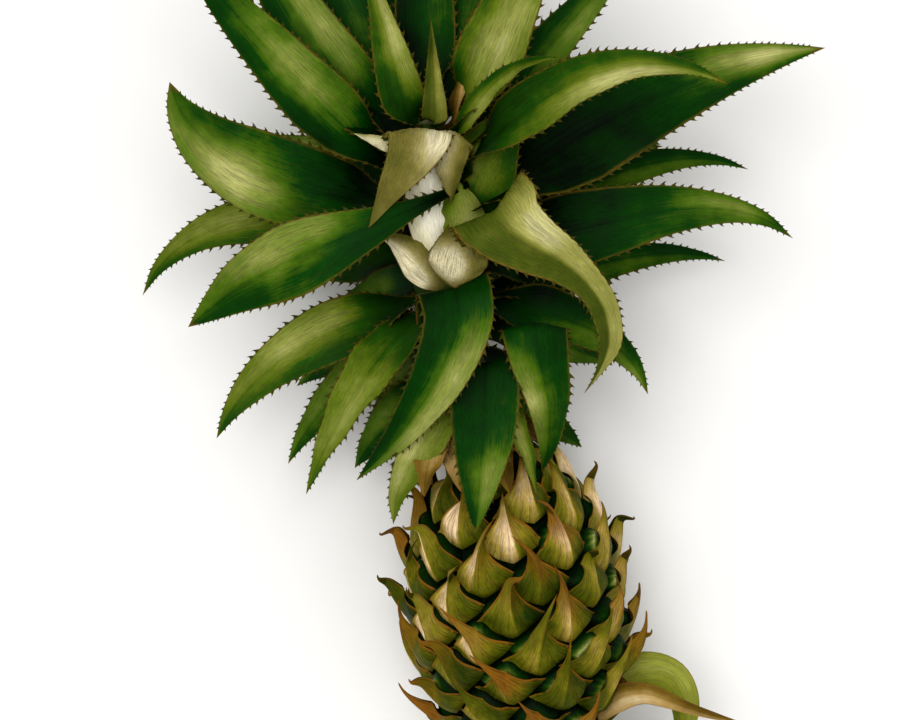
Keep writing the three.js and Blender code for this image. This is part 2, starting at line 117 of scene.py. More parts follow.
# The blades.
BLADE_STATIONS = 11
PATH_STATIONS = 32
PATH_STEPS = 16  # between two of a path's points, to measure it
BLADE_ROOT = 9  # from the middle of the stem to where a blade starts
BLADE_FINENESS = 0.12  # how much it narrows before its end
FLOOR_GAP = -1  # height at which a falling midrib comes level
FLOOR_EASE = 28  # height over that from which it may fall straight down
TURNED_BY = 0.4  # share of a blade by which it has turned to the sky
ROWS = 58  # rings along a blade
ROW_SPREAD = 1.12  # how much closer together they lie at its foot
LAST_ROW = 0.985  # where the last one lies, as a share of the blade
COLUMNS = 18  # strips across one side of a blade
EDGE_THICKNESS = 0.35
MIDRIB_THICKNESS = 1.3
THIN_TIP = 0.45  # share of the thickness that is left at the tip
LYING_THICKNESS = 0.5  # least thickness of a blade that lies on the floor
WAVE_HEIGHT = 1.1  # of the waves along an edge
WAVES = (3, 5)  # how many there are
WAVE_TURN = 6.3  # from one wave to the next, about a full turn
ROOT_WIDTH = 0.45  # of a folded leaf where it leaves the stem, as a share of its start
ROOT_SHARE = 0.02  # how far apart its first rings count, as shares of the blade

# How strongly the parts of a leaf are painted: its painted highlight, the painted light on one half, its pale
# edges, and its dry edges and tip.
HIGHLIGHT_PALENESS = 0.66
LIT_HALF_PALENESS = 0.88
EDGE_PALENESS = 0.12
DRYNESS = 0.8  # of its edges and its tip

# The painted shade where leaves crowd together: its strength, where it begins from the core's foot, and where
# it fades out beside the core and over the floor.
CROWD_SHADE = 0.8
CROWD_START = (-30, 15)
CROWD_WIDTH = (12, 85)
CROWD_HEIGHT = (70, 108)

# A spine: each section's place out and ahead, half width and half thickness, and the
# place of its point, all as shares of its size.
SPINE_SECTIONS = ((-0.12, 0, 0.6, 0.22), (0.26, 0.1, 0.28, 0.17), (0.62, 0.42, 0.12, 0.1))
SPINE_POINT = (0.82, 0.88)
SPINE_DRYNESS = (0, 0.15, 0.5)
SPINE_SIZES = (0.75, 1.15)  # how spines differ, times the usual
SPINE_GAPS = (0.8, 1.25)
SPINES_FROM = 0.05  # share of a blade below which it has none

# The base with which a leaf clasps the stem.
SHEATH_ROWS = 7
SHEATH_DEPTH = 13
SHEATH_GAP = 0.6  # between the stem and its upper end
SHEATH_SUNK = 1.2  # how deep its lower end lies in the stem
SHEATH_RISE = 5  # its lower edge rises this much to the sides
SHEATH_SPREAD = math.radians(76)  # it reaches this far round the stem
SHEATH_EASE = 7  # way out from the stem in which it turns into the blade


@dataclass(frozen=True)
class Leaf:
    """A leaf's place on the stem, its course and its looks. `up` is the share of the
    crown's core, or mm down the stalk. `side` is the way it leaves, 0 for the sky and 90
    for the right, and `sway` turns that by its tip. `bend` has the angle from the stem
    at the foot and at the tip, and the power that spreads the change. A leaf that folds
    over has a `path` of points for its midrib instead, and a `root` of points from the
    stem to its start, where it lies under others. `face` is how far it turns to the sky.

    The width is a share `neck` of the widest at the foot, and widest at `belly`. `rise`
    is how late it widens, `point` how long it stays broad and `tail` a bulge near the
    tip. `fold` is the depth of the channel over the width, and `crease` how round it is.

    `highlight` has the share, the place across, the reach and the strength of its painted highlight, a pale
    patch.
    `lit` makes the right half paler, or the left one below 0, and `tone` is how pale the rest is. `dark` is
    the share that lies in the shade of its neighbours, and `blanch` how white its clasping base is. `finish`
    is the tissue of its upper side, and `spines` the size of its spines. `clasping` says that its base goes
    round the stem, `slot` is passed on with the piece but not used, and `stands_for` whose solid it belongs
    to when it has none of its own."""

    name: str
    up: float = 0
    side: float = 0
    length: float = 0
    width: float = 0
    bend: tuple = ()
    sway: float = 0
    path: tuple = ()
    root: tuple = ()
    clasping: bool = True
    slot: str = "leaf"
    stands_for: str = ""
    face: float = 0.9
    neck: float = 0.62
    belly: float = 0.36
    rise: float = 1
    tail: float = 0
    point: float = 1.5
    fold: float = 0.11
    crease: float = 0.2
    finish: str = "green"
    glow: tuple = (0.5, 0.2, 0.3, 0.55)
    lit: float = 0.3
    tone: float = 0.08
    dark: float = 0.4
    blanch: float = 0
    spines: float = 1


def folded(name, width, path, root=(), **looks):
    """A leaf of the crown that folds over and doesn't clasp the core."""
    return Leaf(name, width=width, path=path, root=root, clasping=False, **looks)


def heart(name, width, path, root=(), **looks):
    """A small rounded leaf folded over the heart, without shade."""
    usual = {"crease": 1, "dark": 0, "spines": 0, "slot": "pale_leaf"}
    return folded(name, width, path, root, **{**usual, **looks})


CROWN_LEAVES = (
    # the rosette's left side
    Leaf(
        "leaf_left_1", 0.73, -85, 149, 43, (72, -4, 2.9), belly=0.5, point=2.1,
        finish="deep", glow=(0.62, -0.25, 0.17, 1.25), lit=-0.3, dark=0.5,
    ),
    Leaf("leaf_left_2", 0.66, -108, 166, 30, (76, 160, 2.2), glow=(0.6, 0, 0.25, 0.6), dark=0.5),
    folded(
        "leaf_left_3", 37,
        ((9, 87.5, 103), (-3, 82, 110), (-17.5, 75.5, 115), (-36, 67, 118), (-56, 59, 117),
         (-75, 51, 112), (-105, 36, 98), (-131.5, 16.5, 80)),
        root=((-6, 88, 92),), neck=0.1, belly=0.58, rise=2, point=1.7,
        finish="deep", glow=(0.6, 0.5, 0.18, 0.6),
    ),
    Leaf("leaf_left_4", 0.47, -82, 131, 31, (97, 154, 1.8), point=1.8, glow=(0.45, 0.2, 0.25, 0.8)),
    Leaf("leaf_left_5", 0.38, -106, 108, 26, (113, 150, 1.5), finish="deep"),
    Leaf(
        "leaf_left_6", 0.44, -46, 122, 27, (98, 150, 0.6), sway=-18, face=0.6, glow=(0.6, -0.4, 0.3, 0.9),
    ),
    folded(
        "leaf_left_7", 37,
        ((0, 20, 96), (0.5, 31, 107), (1.5, 35.5, 115), (3, 31, 121), (4, 20, 124), (0, 5, 124),
         (-9, -14, 119), (-25, -37, 104), (-47, -60.5, 82)),
        root=((-1, 12, 86),), neck=0.95, belly=0.15, point=1.6, fold=0.06,
        finish="deep", glow=(0.55, -0.6, 0.25, 0.6), lit=-0.5, tone=0, dark=0.42,
    ),
    folded(
        "leaf_left_8", 22, ((2, -5, 100), (-5, -25, 104), (-16, -46, 99), (-26, -66, 89), (-28.5, -82.5, 80)),
        root=((2, 4, 86),), neck=0.7, belly=0.4, tone=0.35, dark=0.1,
    ),
    Leaf("leaf_left_9", 0.12, -12, 40, 16, (100, 175, 0.7), face=0.5, finish="dry", spines=0),
    # leaves that arch over the core and down in front of the fruit
    folded(
        "leaf_front_1", 34,
        ((14, -16, 92), (16, -5, 101), (17, -2, 107), (17.5, -8, 111), (17, -30, 113), (15, -56, 113),
         (12.5, -86, 112)),
        root=((9, -22, 82),), neck=0.8, belly=0.4, point=1.9, fold=0.08,
        finish="deep", glow=(0.75, -0.4, 0.2, 0.7), lit=-0.25, tone=0, dark=0.6,
    ),
    Leaf("leaf_front_2", 0.22, 35, 80, 15, (80, 182, 0.5), face=0.2, glow=(0.6, 0, 0.4, 0.9), spines=0.6),
    folded(
        "leaf_front_3", 33,
        ((44, 7, 96), (43, 15, 107), (42, 18, 115), (42, 14, 121), (45, -3, 120), (49, -22, 112),
         (49, -42, 99), (46, -56.5, 88)),
        root=((9, -16, 79), (27, -8, 85), (40, 0, 91)), neck=0.85, belly=0.2, point=1.8,
        fold=-0.1, crease=0.3, finish="deep", glow=(0.6, 0.7, 0.2, 0.7), lit=0.25, dark=0.5,
    ),
    # the rosette's right side
    Leaf("leaf_right_1", 0.82, 62, 174, 27, (50, 126, 1.8), glow=(0.6, 0.5, 0.25, 1), dark=0.5),
    Leaf(
        "leaf_right_2", 0.69, 92, 208, 49, (57, 90, 1.3), face=0.95, point=1.7,
        finish="deep", glow=(0.88, -0.2, 0.17, 1.4), lit=-0.15, tone=0, dark=0.8,
    ),
    Leaf("leaf_right_3", 0.62, 106, 164, 23, (72, 128, 3), finish="deep", tone=0, dark=0.9),
    Leaf(
        "leaf_right_4", 0.58, 88, 174, 38, (81, 154, 4), face=0.95, point=1.3,
        finish="deep", glow=(0.75, -0.4, 0.18, 0.9), tone=0, dark=0.9,
    ),
    Leaf("leaf_right_5", 0.44, 108, 145, 22, (83, 122, 3), finish="deep", tone=0, dark=0.9),
    folded(
        "leaf_right_6", 45,
        ((26, 64, 100), (23.5, 70, 112), (22.5, 73.5, 121), (24.5, 71, 127.5), (30, 64.5, 129.5),
         (41, 57, 127.5), (55, 49, 121), (67, 39, 113), (76, 26, 105), (79, 10, 98), (75, -4, 93),
         (67, -17, 89)),
        root=((2, 52, 84), (15, 57, 89)), neck=0.9, belly=0.22, point=0.62, tail=0.15,
        fold=0.16, crease=0.02, finish="khaki", glow=(0.3, -0.6, 0.12, 0.6), tone=0.12, lit=-0.6, dark=0,
    ),
    Leaf("leaf_right_7", 0.44, 86, 110, 28, (100, 178, 1.9), face=0.8, finish="deep", dark=0.75),
    # small leaves folded over the heart, and the pale sheaths beside them
    heart(
        "leaf_heart_1", 35,
        ((-15, 100, 98), (-16, 110, 110), (-16, 114, 121), (-15.5, 110, 127.5), (-20, 99, 128),
         (-30, 83, 125), (-40.5, 64.7, 119)),
        root=((-11, 94, 93),), neck=0.9, belly=0.35, point=1, fold=-0.08,
        finish="tan", glow=(0.42, -0.6, 0.13, 1), tone=0.3, lit=-0.1, spines=0.6,
    ),
    heart(
        "leaf_heart_2", 22,
        ((5, 98, 96), (4, 108, 106), (2.5, 112.5, 113), (1, 109, 119), (0, 99, 118), (0, 88, 113),
         (0.5, 78, 108)),
        root=((-5, 86, 91),), neck=0.9, belly=0.4, point=1.8, fold=-0.2,
        finish="tan", tone=0.28, lit=0.25, spines=0.6,
    ),
    heart(
        "leaf_heart_3", 20,
        ((-5, 44, 97), (-9, 58, 101.5), (-12, 72, 105), (-12.5, 86, 107), (-11, 98, 108), (-9.5, 106, 107)),
        neck=0.6, belly=0.55, point=3, fold=-0.25, finish="cream", tone=0.62, lit=0.1,
    ),
    heart(
        "sheath_left", 8, ((-24, 105.5, 109), (-31, 107, 111), (-39, 109.5, 111), (-48, 112.5, 109)),
        stands_for="leaf_heart_1", neck=0.9, belly=0.3, point=1.2, fold=-0.1,
        finish="cream", tone=0.15, lit=-0.4, spines=0.4,
    ),
    heart(
        "sheath_right", 27, ((6, 56, 99), (6, 67, 103.5), (5, 78, 106), (2, 90, 107)),
        stands_for="leaf_heart_2", neck=0.95, belly=0.2, point=2.2, fold=-0.25, tone=0.3, lit=0.3,
    ),
    heart(
        "sheath_upper", 40, ((2, 62, 88), (9, 80, 95), (16, 97, 98), (26, 113, 97), (40, 127, 92)),
        stands_for="leaf_right_1", neck=0.9, belly=0.4, point=1.6, fold=-0.1,
        tone=0.1, glow=(0.5, -0.2, 0.18, 0.7), lit=-0.1, dark=0.3, spines=1,
    ),
    heart(
        "leaf_heart_4", 21, ((1, 36, 96), (-9, 43, 100.5), (-18, 52, 101), (-27, 59, 99), (-35, 61.5, 96)),
        neck=0.25, belly=0.45, fold=-0.1,
        finish="tan", tone=0.3, lit=-0.85, glow=(0.4, -0.9, 0.3, 0.5),
    ),
    heart(
        "leaf_heart_5", 30,
        ((5, 68, 99), (5, 58, 101), (4, 48, 104), (3, 40, 109), (2.5, 36.5, 114), (2.5, 35.5, 118)),
        root=((1, 76, 92),), neck=0.35, belly=0.6, point=3.5, fold=0.3,
        finish="tan", tone=0.22, lit=0.25, glow=(0.6, 0.25, 0.28, 1.3), spines=0.3,
    ),
    # leaves that stand up towards the tip of the crown
    Leaf("leaf_top_1", 0.78, -80, 190, 34, (42, 34, 1), finish="deep", glow=(0.4, 0.1, 0.2, 0.9), dark=0.65),
    Leaf("leaf_top_2", 0.82, -98, 188, 36, (33, 25, 1), finish="deep", glow=(0.5, 0.4, 0.2, 1), dark=0.7),
    Leaf("leaf_top_3", 0.86, -122, 178, 32, (27, 16, 1), finish="deep", dark=0.7),
    Leaf("leaf_top_4", 0.9, -150, 166, 26, (14, 6, 1), finish="deep", dark=0.8),
    Leaf(
        "leaf_top_5", 0.9, -64, 106, 25, (10, 14, 1), neck=0.85, belly=0.22,
        glow=(0.6, 0.4, 0.3, 0.8), dark=0.45,
    ),
    Leaf("leaf_top_6", 0.96, 178, 170, 30, (5, 1, 1), face=0.5, finish="deep", dark=0.7),
    Leaf(
        "leaf_top_7", 0.92, 16, 66, 16, (5, 2, 1), neck=0.95, belly=0.12, point=1.15,
        finish="khaki", glow=(0.5, 0.4, 0.3, 0.5), tone=0, dark=0.2, spines=0.6,
    ),
    Leaf("leaf_top_8", 0.93, 84, 60, 9, (16, 8, 1), face=0.5, finish="dry", spines=0.4),
    Leaf("leaf_top_9", 0.9, 66, 162, 34, (27, 31, 1), glow=(0.4, 0, 0.3, 1.1), dark=0.35),
    Leaf("leaf_top_10", 0.92, 132, 164, 28, (14, 12, 1), finish="deep", dark=0.8),
    Leaf("leaf_top_11", 0.86, 96, 160, 25, (42, 48, 1), finish="deep", dark=0.6),
    Leaf("leaf_top_12", 0.88, 45, 106, 11, (34, 98, 1.4), dark=0.3, spines=0.6),
)

STALK_LEAVES = (
    Leaf(
        "stalk_leaf_green", 6, 88, width=24,
        path=(
            (57, -204.7, 39), (66, -187, 42.5), (79, -170.5, 46), (92, -161, 50), (103, -158.5, 52),
            (112, -161.5, 52), (118, -170.5, 49), (119.5, -184, 44), (117.5, -200, 36), (114, -216, 27),
        ),
        finish="fresh", glow=(0.45, -0.4, 0.3, 0.5), lit=-0.2, tone=0.25, dark=0.12, spines=0,
    ),
    Leaf(
        "stalk_leaf_dry", 5, 60, width=14,
        path=(
            (56, -204.6, 43.5), (64, -191, 52), (75, -178, 60), (87, -170, 67), (98, -168, 71),
            (109, -171, 73), (121, -175.5, 73), (143, -182, 71), (154, -185, 69),
        ),
        belly=0.42, point=0.9, finish="dry", slot="dry_leaf",
        glow=(0.42, 0.3, 0.25, 0.6), lit=0.35, tone=0.2, dark=0.1, spines=0,
    ),
    Leaf(
        "stalk_leaf_left", 8, -74, 62, 15, (46, 90, 1), face=0.7, finish="dry", dark=0.2, blanch=0.3,
        spines=0.5,
    ),
    Leaf("stalk_leaf_under_left", 12, -150, 74, 19, (52, 80, 1), face=0.5, blanch=0.4, spines=0.6),
    Leaf(
        "stalk_leaf_under_right", 18, 112, 84, 19, (62, 118, 1), face=0.5, finish="fresh", blanch=0.4,
        spines=0.6,
    ),
)

# The leaves under the core: the sides to which they leave it in turn, and their place
# on it, their length and their angle from it, from the lowest one to the highest.
UNDER_COUNT = 16
UNDER_SIDES = (122, -126, 153, -151)
UNDER_UP = (0.14, 0.86)
UNDER_LENGTH = (72, 150)
UNDER_WIDTH = 27
UNDER_ANGLE = (112, 58)
UNDER_DROOP = 30  # how much further they lean at the tip

# The rind.
EYE_RINGS = (0.35, 0.6, 0.78, 0.89, 0.96, 1.0)  # shares of the way out to the furrow
EYE_SIDES = 30
EYE_FILL = 0.985  # share of its cell that an eye fills
EYE_TURNS = (-0.3, 0.3)  # of its three lobes
EYE_TONES = (-0.1, 0.1)
EYE_HIGHLIGHTS = (-0.4, 1)  # how bright the painted highlight on one side of its fringe is
CELL_SHARPNESS = 7  # how sharp the corners of a cell are
FURROW_DEPTH = 2.4
BODY_DEPTH = 2.6  # from the barrel to the body under the eyes
BRACT_SPREAD = 1.36  # over the half width of its eye
BRACT_COLUMNS = 16
BRACT_ROWS = 22
BRACT_EASE = 0.8  # height of a bract's keel at its base

# How bracts differ from one another.
BRACT_LENGTHS = (0.85, 1.15)  # times the usual
BRACT_RISES = (0.8, 1.25)  # times the usual
BRACT_LEANS = (-13, 13)  # how far the tip lies to a side
BRACT_CURLS = (-1.5, 3)  # how far the tip stands up
HOOKED_SHARE = 0.5  # of them curl back
HOOKED_CURLS = (3, 9)
HOOKS = (5, 14)  # how far they curl back
KEELS = (-0.3, 0.25)  # place of the keel across
GREENNESS = (0.2, 0.9)
RUST = (-0.15, 0.8)
BRACT_TONES = (0.16, 0.5)
# strength of the painted highlight on a bract's lit facet
BRACT_HIGHLIGHTS = (0.15, 1)

# The leaves over the fruit, and the scales at the crown's foot.
ROOF_REACH = 24  # how far over the rind a leaf is looked for
ROOF_ROOM = 1.6  # kept between it and the bracts
LEAST_ROOM = 0.3
SCALES = 15  # dry scales round the foot of the crown
SCALE_HEIGHT = 5.5  # over the barrel where they lie on it
SCALE_THICKNESS = 0.9

# The stage, in metres.
FLOOR_REACH = 6
FLOOR_GRAIN = 0.985  # how dark the floor's grain is
LIGHT_SIZE = 1.8
LIGHTS = (("key", (-0.6, 0.5, 2.6), 1), ("fill", (1.2, -0.9, 1.8), 0.2))  # with their power
BACKDROP = 0.73
LEAF_HEIGHT = 0.09  # where the camera's view is as wide as the settings say


# ---- small helpers -----------------------------------------------------------------


def mix(a, b, share):
    return a + (b - a) * share


def clamp(x, low=0.0, high=1.0):
    return max(low, min(high, x))


def smooth(x, start=0.0, end=1.0):
    """0 before start, 1 after end, and an even rise between them."""
    t = np.minimum(np.maximum((x - start) / (end - start), 0), 1)
    return t * t * (3 - 2 * t)


def hill(x, middle, reach):
    """1 at the middle, and falling to nothing on both sides of it."""
    return np.exp(-(((x - middle) / reach) ** 2))


def even(count, end=1):
    """Evenly spaced texture places from 0 to an end."""
    return [i / count * end for i in range(count + 1)]


def off_floor(points):
    """Lifts points that lie under the floor."""
    points[..., 2] = np.maximum(points[..., 2], FLOOR_CLEARANCE)


def circle(middle, axis, radii):
    """A ring of points round an axis, one at each radius, starting from the sky."""
    count = len(radii)
    return [middle + around(axis, 2 * math.pi * k / count) * radius for k, radius in enumerate(radii)]


def square_frame(axis):
    """The two directions square to an axis: one as near to the sky as it can be, and right."""
    sky = (UP - axis * axis.z).normalized()
    return sky, axis.cross(sky)


def around(axis, angle):
    """The direction at an angle round an axis, from the sky towards the right."""
    sky, right = square_frame(axis)
    return sky * math.cos(angle) + right * math.sin(angle)


# ---- the fruit's barrel and the stem -----------------------------------------------

FRUIT_AXIS = Vector(
    (
        -math.sin(FRUIT_LEAN) * math.cos(FRUIT_CLIMB),
        math.cos(FRUIT_LEAN) * math.cos(FRUIT_CLIMB),
        math.sin(FRUIT_CLIMB),
    )
)
FRUIT_FOOT = FRUIT_MIDDLE - FRUIT_AXIS * HALF_LENGTH

# The frame stands centred over its own box. The stalk is the same at both ends, so the
# middle of its box shows how far that moved the plant from the sizes given above.
_low, _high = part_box("stalk")
STALK_MIDDLE = FRUIT_FOOT + FRUIT_AXIS * (STALK_INSIDE - STALK_LENGTH) / 2
SHIFT = (_low + _high) / (2 * MM) - STALK_MIDDLE


def barrel_radius(share):
    return BARREL_RADIUS * math.sqrt(max(1 - abs(share) ** FULLNESS, 0))


def barrel_normal(point):
    """Outward direction of the barrel at a point on or near it."""
    from_middle = point - FRUIT_MIDDLE
    along = from_middle.dot(FRUIT_AXIS)
    share = along / HALF_LENGTH
    across = (from_middle - FRUIT_AXIS * along) / BARREL_RADIUS**2
    curve = (FULLNESS / 2) * abs(share) ** (FULLNESS - 1)
    return (across + FRUIT_AXIS * math.copysign(curve, share) / HALF_LENGTH).normalized()


def onto_barrel(point):
    """The place on the barrel under a point, on the line from its middle."""
    ray = point - FRUIT_MIDDLE
    along = ray.dot(FRUIT_AXIS)
    across = ((ray - FRUIT_AXIS * along).length / BARREL_RADIUS) ** 2
    share = (abs(along) / HALF_LENGTH) ** FULLNESS
    reach = 1 / max(math.sqrt(across), share ** (1 / FULLNESS), 1e-6)
    for _ in range(SOLVING_STEPS):
        over = across * reach**2 + share * reach**FULLNESS - 1
        reach -= over / (2 * across * reach + FULLNESS * share * reach ** (FULLNESS - 1))
    return FRUIT_MIDDLE + ray * reach


def eye_centres():
    """The eyes' centres up one spiral, in bands of equal area on the barrel."""
    heights = [2 * i / AREA_STEPS - 1 for i in range(AREA_STEPS + 1)]
    step = 2 * HALF_LENGTH / AREA_STEPS
    area = [0.0]
    for low, high in zip(heights, heights[1:]):
        radii = barrel_radius(low), barrel_radius(high)
        area.append(area[-1] + sum(radii) * math.hypot(radii[1] - radii[0], step))
    centres = []
    i = 0
    for eye in range(EYES):
        while area[i] < (eye + 0.5) / EYES * area[-1]:
            i += 1
        outward = around(FRUIT_AXIS, FIRST_EYE_TURN + eye * GOLDEN_ANGLE)
        along = FRUIT_AXIS * heights[i] * HALF_LENGTH
        centres.append(FRUIT_MIDDLE + along + outward * barrel_radius(heights[i]))
    return centres


def core_point(u):
    """A point of the crown core's centre line, and the line's direction there."""
    point = CORE_FOOT * (1 - u) ** 2 + CORE_KNEE * 2 * u * (1 - u) + CORE_TIP * u**2
    tangent = (CORE_KNEE - CORE_FOOT) * (1 - u) + (CORE_TIP - CORE_KNEE) * u
    return point, tangent.normalized()


CORE_STEPS = 40
CORE_POINTS = [core_point(i / CORE_STEPS)[0] for i in range(CORE_STEPS + 1)]
CORE_LENGTH = sum((b - a).length for a, b in zip(CORE_POINTS, CORE_POINTS[1:]))


def core_radius(u):
    return mix(CORE_RADIUS, CORE_TIP_RADIUS, smooth(u, CORE_TAPER_FROM, 1))


# ---- meshes ------------------------------------------------------------------------


class Skin:
    """The points, faces, tints and texture places of one piece while it is made. A
    point's tint holds how pale, how dry, how shaded and how blanched it is."""

    def __init__(self):
        self.points = []
        self.tints = []
        self.faces = []
        self.places = []
        self.finishes = []

    def add_points(self, points, tints):
        first = len(self.points)
        self.points.extend(np.asarray(points, float).reshape(-1, 3).tolist())
        self.tints.extend(np.asarray(tints, float).reshape(-1, 4).tolist())
        return first

    def add_face(self, corners, places, finish):
        self.faces.append(corners)
        self.places.append(places)
        self.finishes.append(finish)

    def tube(self, rings, tints, across, along, finishes, tip=None, foot=True):
        """Skins rings of points that go round the top from left to right and back
        under it. across has one value more than a ring has points, and finishes is one
        for each point of a ring, or one for all."""
        rows, count = rings.shape[:2]
        if isinstance(finishes, int):
            finishes = [finishes] * count
        first = self.add_points(rings, tints)
        for i in range(rows - 1):
            for k in range(count):
                a = first + i * count + k
                b = first + i * count + (k + 1) % count
                left, right = across[k : k + 2]
                low, high = along[i : i + 2]
                places = [(left, low), (right, low), (right, high), (left, high)]
                self.add_face([a, b, b + count, a + count], places, finishes[k])
        if tip is not None:
            last = first + (rows - 1) * count
            point = self.add_points([tip[0]], [tip[1]])
            for k in range(count):
                corners = [last + k, last + (k + 1) % count, point]
                places = [(across[k], along[-1]), (across[k + 1], along[-1]), (across[k], 1.0)]
                self.add_face(corners, places, finishes[k])
        if foot:
            self.close(first, count, across, along[0], finishes)
        return first

    def close(self, first, count, across, along, finishes):
        """Closes a flat ring with strips between its top and its underside."""
        half = count // 2
        for k in range(half):
            under, next_under = count - k, count - k - 1
            corners = [first + k, first + under % count, first + next_under, first + k + 1]
            if k == 0:
                corners.pop(1)
            if k == half - 1:
                corners.pop(-2)
            places = [(across[min(c - first, count)], along) for c in corners]
            self.add_face(corners, places, finishes[k])

    def build(self, name, tissues, slot, *nodes):
        """Makes the piece, which rides on the root and stands for CAD nodes."""
        mesh = bpy.data.meshes.new(name)
        moved = (np.array(self.points) + np.array(SHIFT)) * MM
        mesh.from_pydata(moved.tolist(), [], self.faces)
        mesh.polygons.foreach_set("material_index", self.finishes)
        mesh.polygons.foreach_set("use_smooth", [True] * len(self.faces))
        layer = mesh.uv_layers.new(name="UVMap")
        layer.data.foreach_set("uv", [x for places in self.places for place in places for x in place])
        tint = mesh.color_attributes.new(name="tint", type="FLOAT_COLOR", domain="POINT")
        tint.data.foreach_set("color", np.array(self.tints, np.float32).ravel())
        for tissue in tissues:
            mesh.materials.append(tissue_material(tissue))
        mesh.set_sharp_from_angle(angle=math.radians(60))
        mesh.update()
        piece = bpy.data.objects.new(name, mesh)
        bpy.context.scene.collection.objects.link(piece)
        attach(piece, "root")
        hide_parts(*nodes)


# ---- materials ---------------------------------------------------------------------


class Wires:
    """A material's node tree, with short ways to add nodes and join them."""

    def __init__(self, name):
        self.material = bpy.data.materials.new(name)
        self.material.use_nodes = True
        self.tree = self.material.node_tree
        self.shader = self.tree.nodes["Principled BSDF"]

    def node(self, kind, **settings):
        made = self.tree.nodes.new(kind)
        for key, value in settings.items():
            setattr(made, key, value)
        return made

    def set(self, socket, value):
        """Sets a socket to a value, or joins it to another socket."""
        if isinstance(value, bpy.types.NodeSocket):
            self.tree.links.new(value, socket)
        elif isinstance(value, tuple) and len(value) == 3 and socket.type == "RGBA":
            socket.default_value = (*value, 1)
        else:
            socket.default_value = value

    def blend(self, factor, a, b, mode="MIX"):
        made = self.node("ShaderNodeMix", data_type="RGBA", blend_type=mode)
        self.set(made.inputs["Factor"], factor)
        self.set(made.inputs["A"], a)
        self.set(made.inputs["B"], b)
        return made.outputs["Result"]

    def maths(self, operation, *values):
        made = self.node("ShaderNodeMath", operation=operation)
        for socket, value in zip(made.inputs, values):
            self.set(socket, value)
        return made.outputs[0]

    def stretch(self, vector, scale):
        made = self.node("ShaderNodeMapping")
        self.set(made.inputs["Vector"], vector)
        made.inputs["Scale"].default_value = scale
        return made.outputs["Vector"]

    def noise(self, vector, scale, detail=2.0, rough=0.5):
        made = self.node("ShaderNodeTexNoise")
        self.set(made.inputs["Vector"], vector)
        made.inputs["Scale"].default_value = scale
        made.inputs["Detail"].default_value = detail
        made.inputs["Roughness"].default_value = rough
        return made.outputs["Fac"]

    def ramp(self, value, start, end, low=0.0, high=1.0):
        made = self.node("ShaderNodeMapRange", interpolation_type="SMOOTHSTEP")
        self.set(made.inputs["Value"], value)
        for key, number in zip(("From Min", "From Max", "To Min", "To Max"), (start, end, low, high)):
            made.inputs[key].default_value = number
        return made.outputs["Result"]

    def tones(self, value, colours):
        made = self.node("ShaderNodeValToRGB")
        self.set(made.inputs["Fac"], value)
        stops = made.color_ramp.elements
        for place in TONE_PLACES[1:-1]:
            stops.new(place)
        for stop, colour in zip(stops, colours):
            stop.color = (*colour, 1)
        return made.outputs["Color"]


@dataclass(frozen=True)
class Tissue:
    """The tones of one kind of plant tissue, from the deepest shade to the brightest,
    its colour where it dries, and how its fibres show."""

    tones: tuple
    dry: tuple
    fibres: tuple = (42, 4.5)  # streaks across and along a piece
    depth: float = 0.5  # how far the streaks darken it
    rough: float = 0.5
    mottle: float = 0.14  # how far patches of it are paler or darker


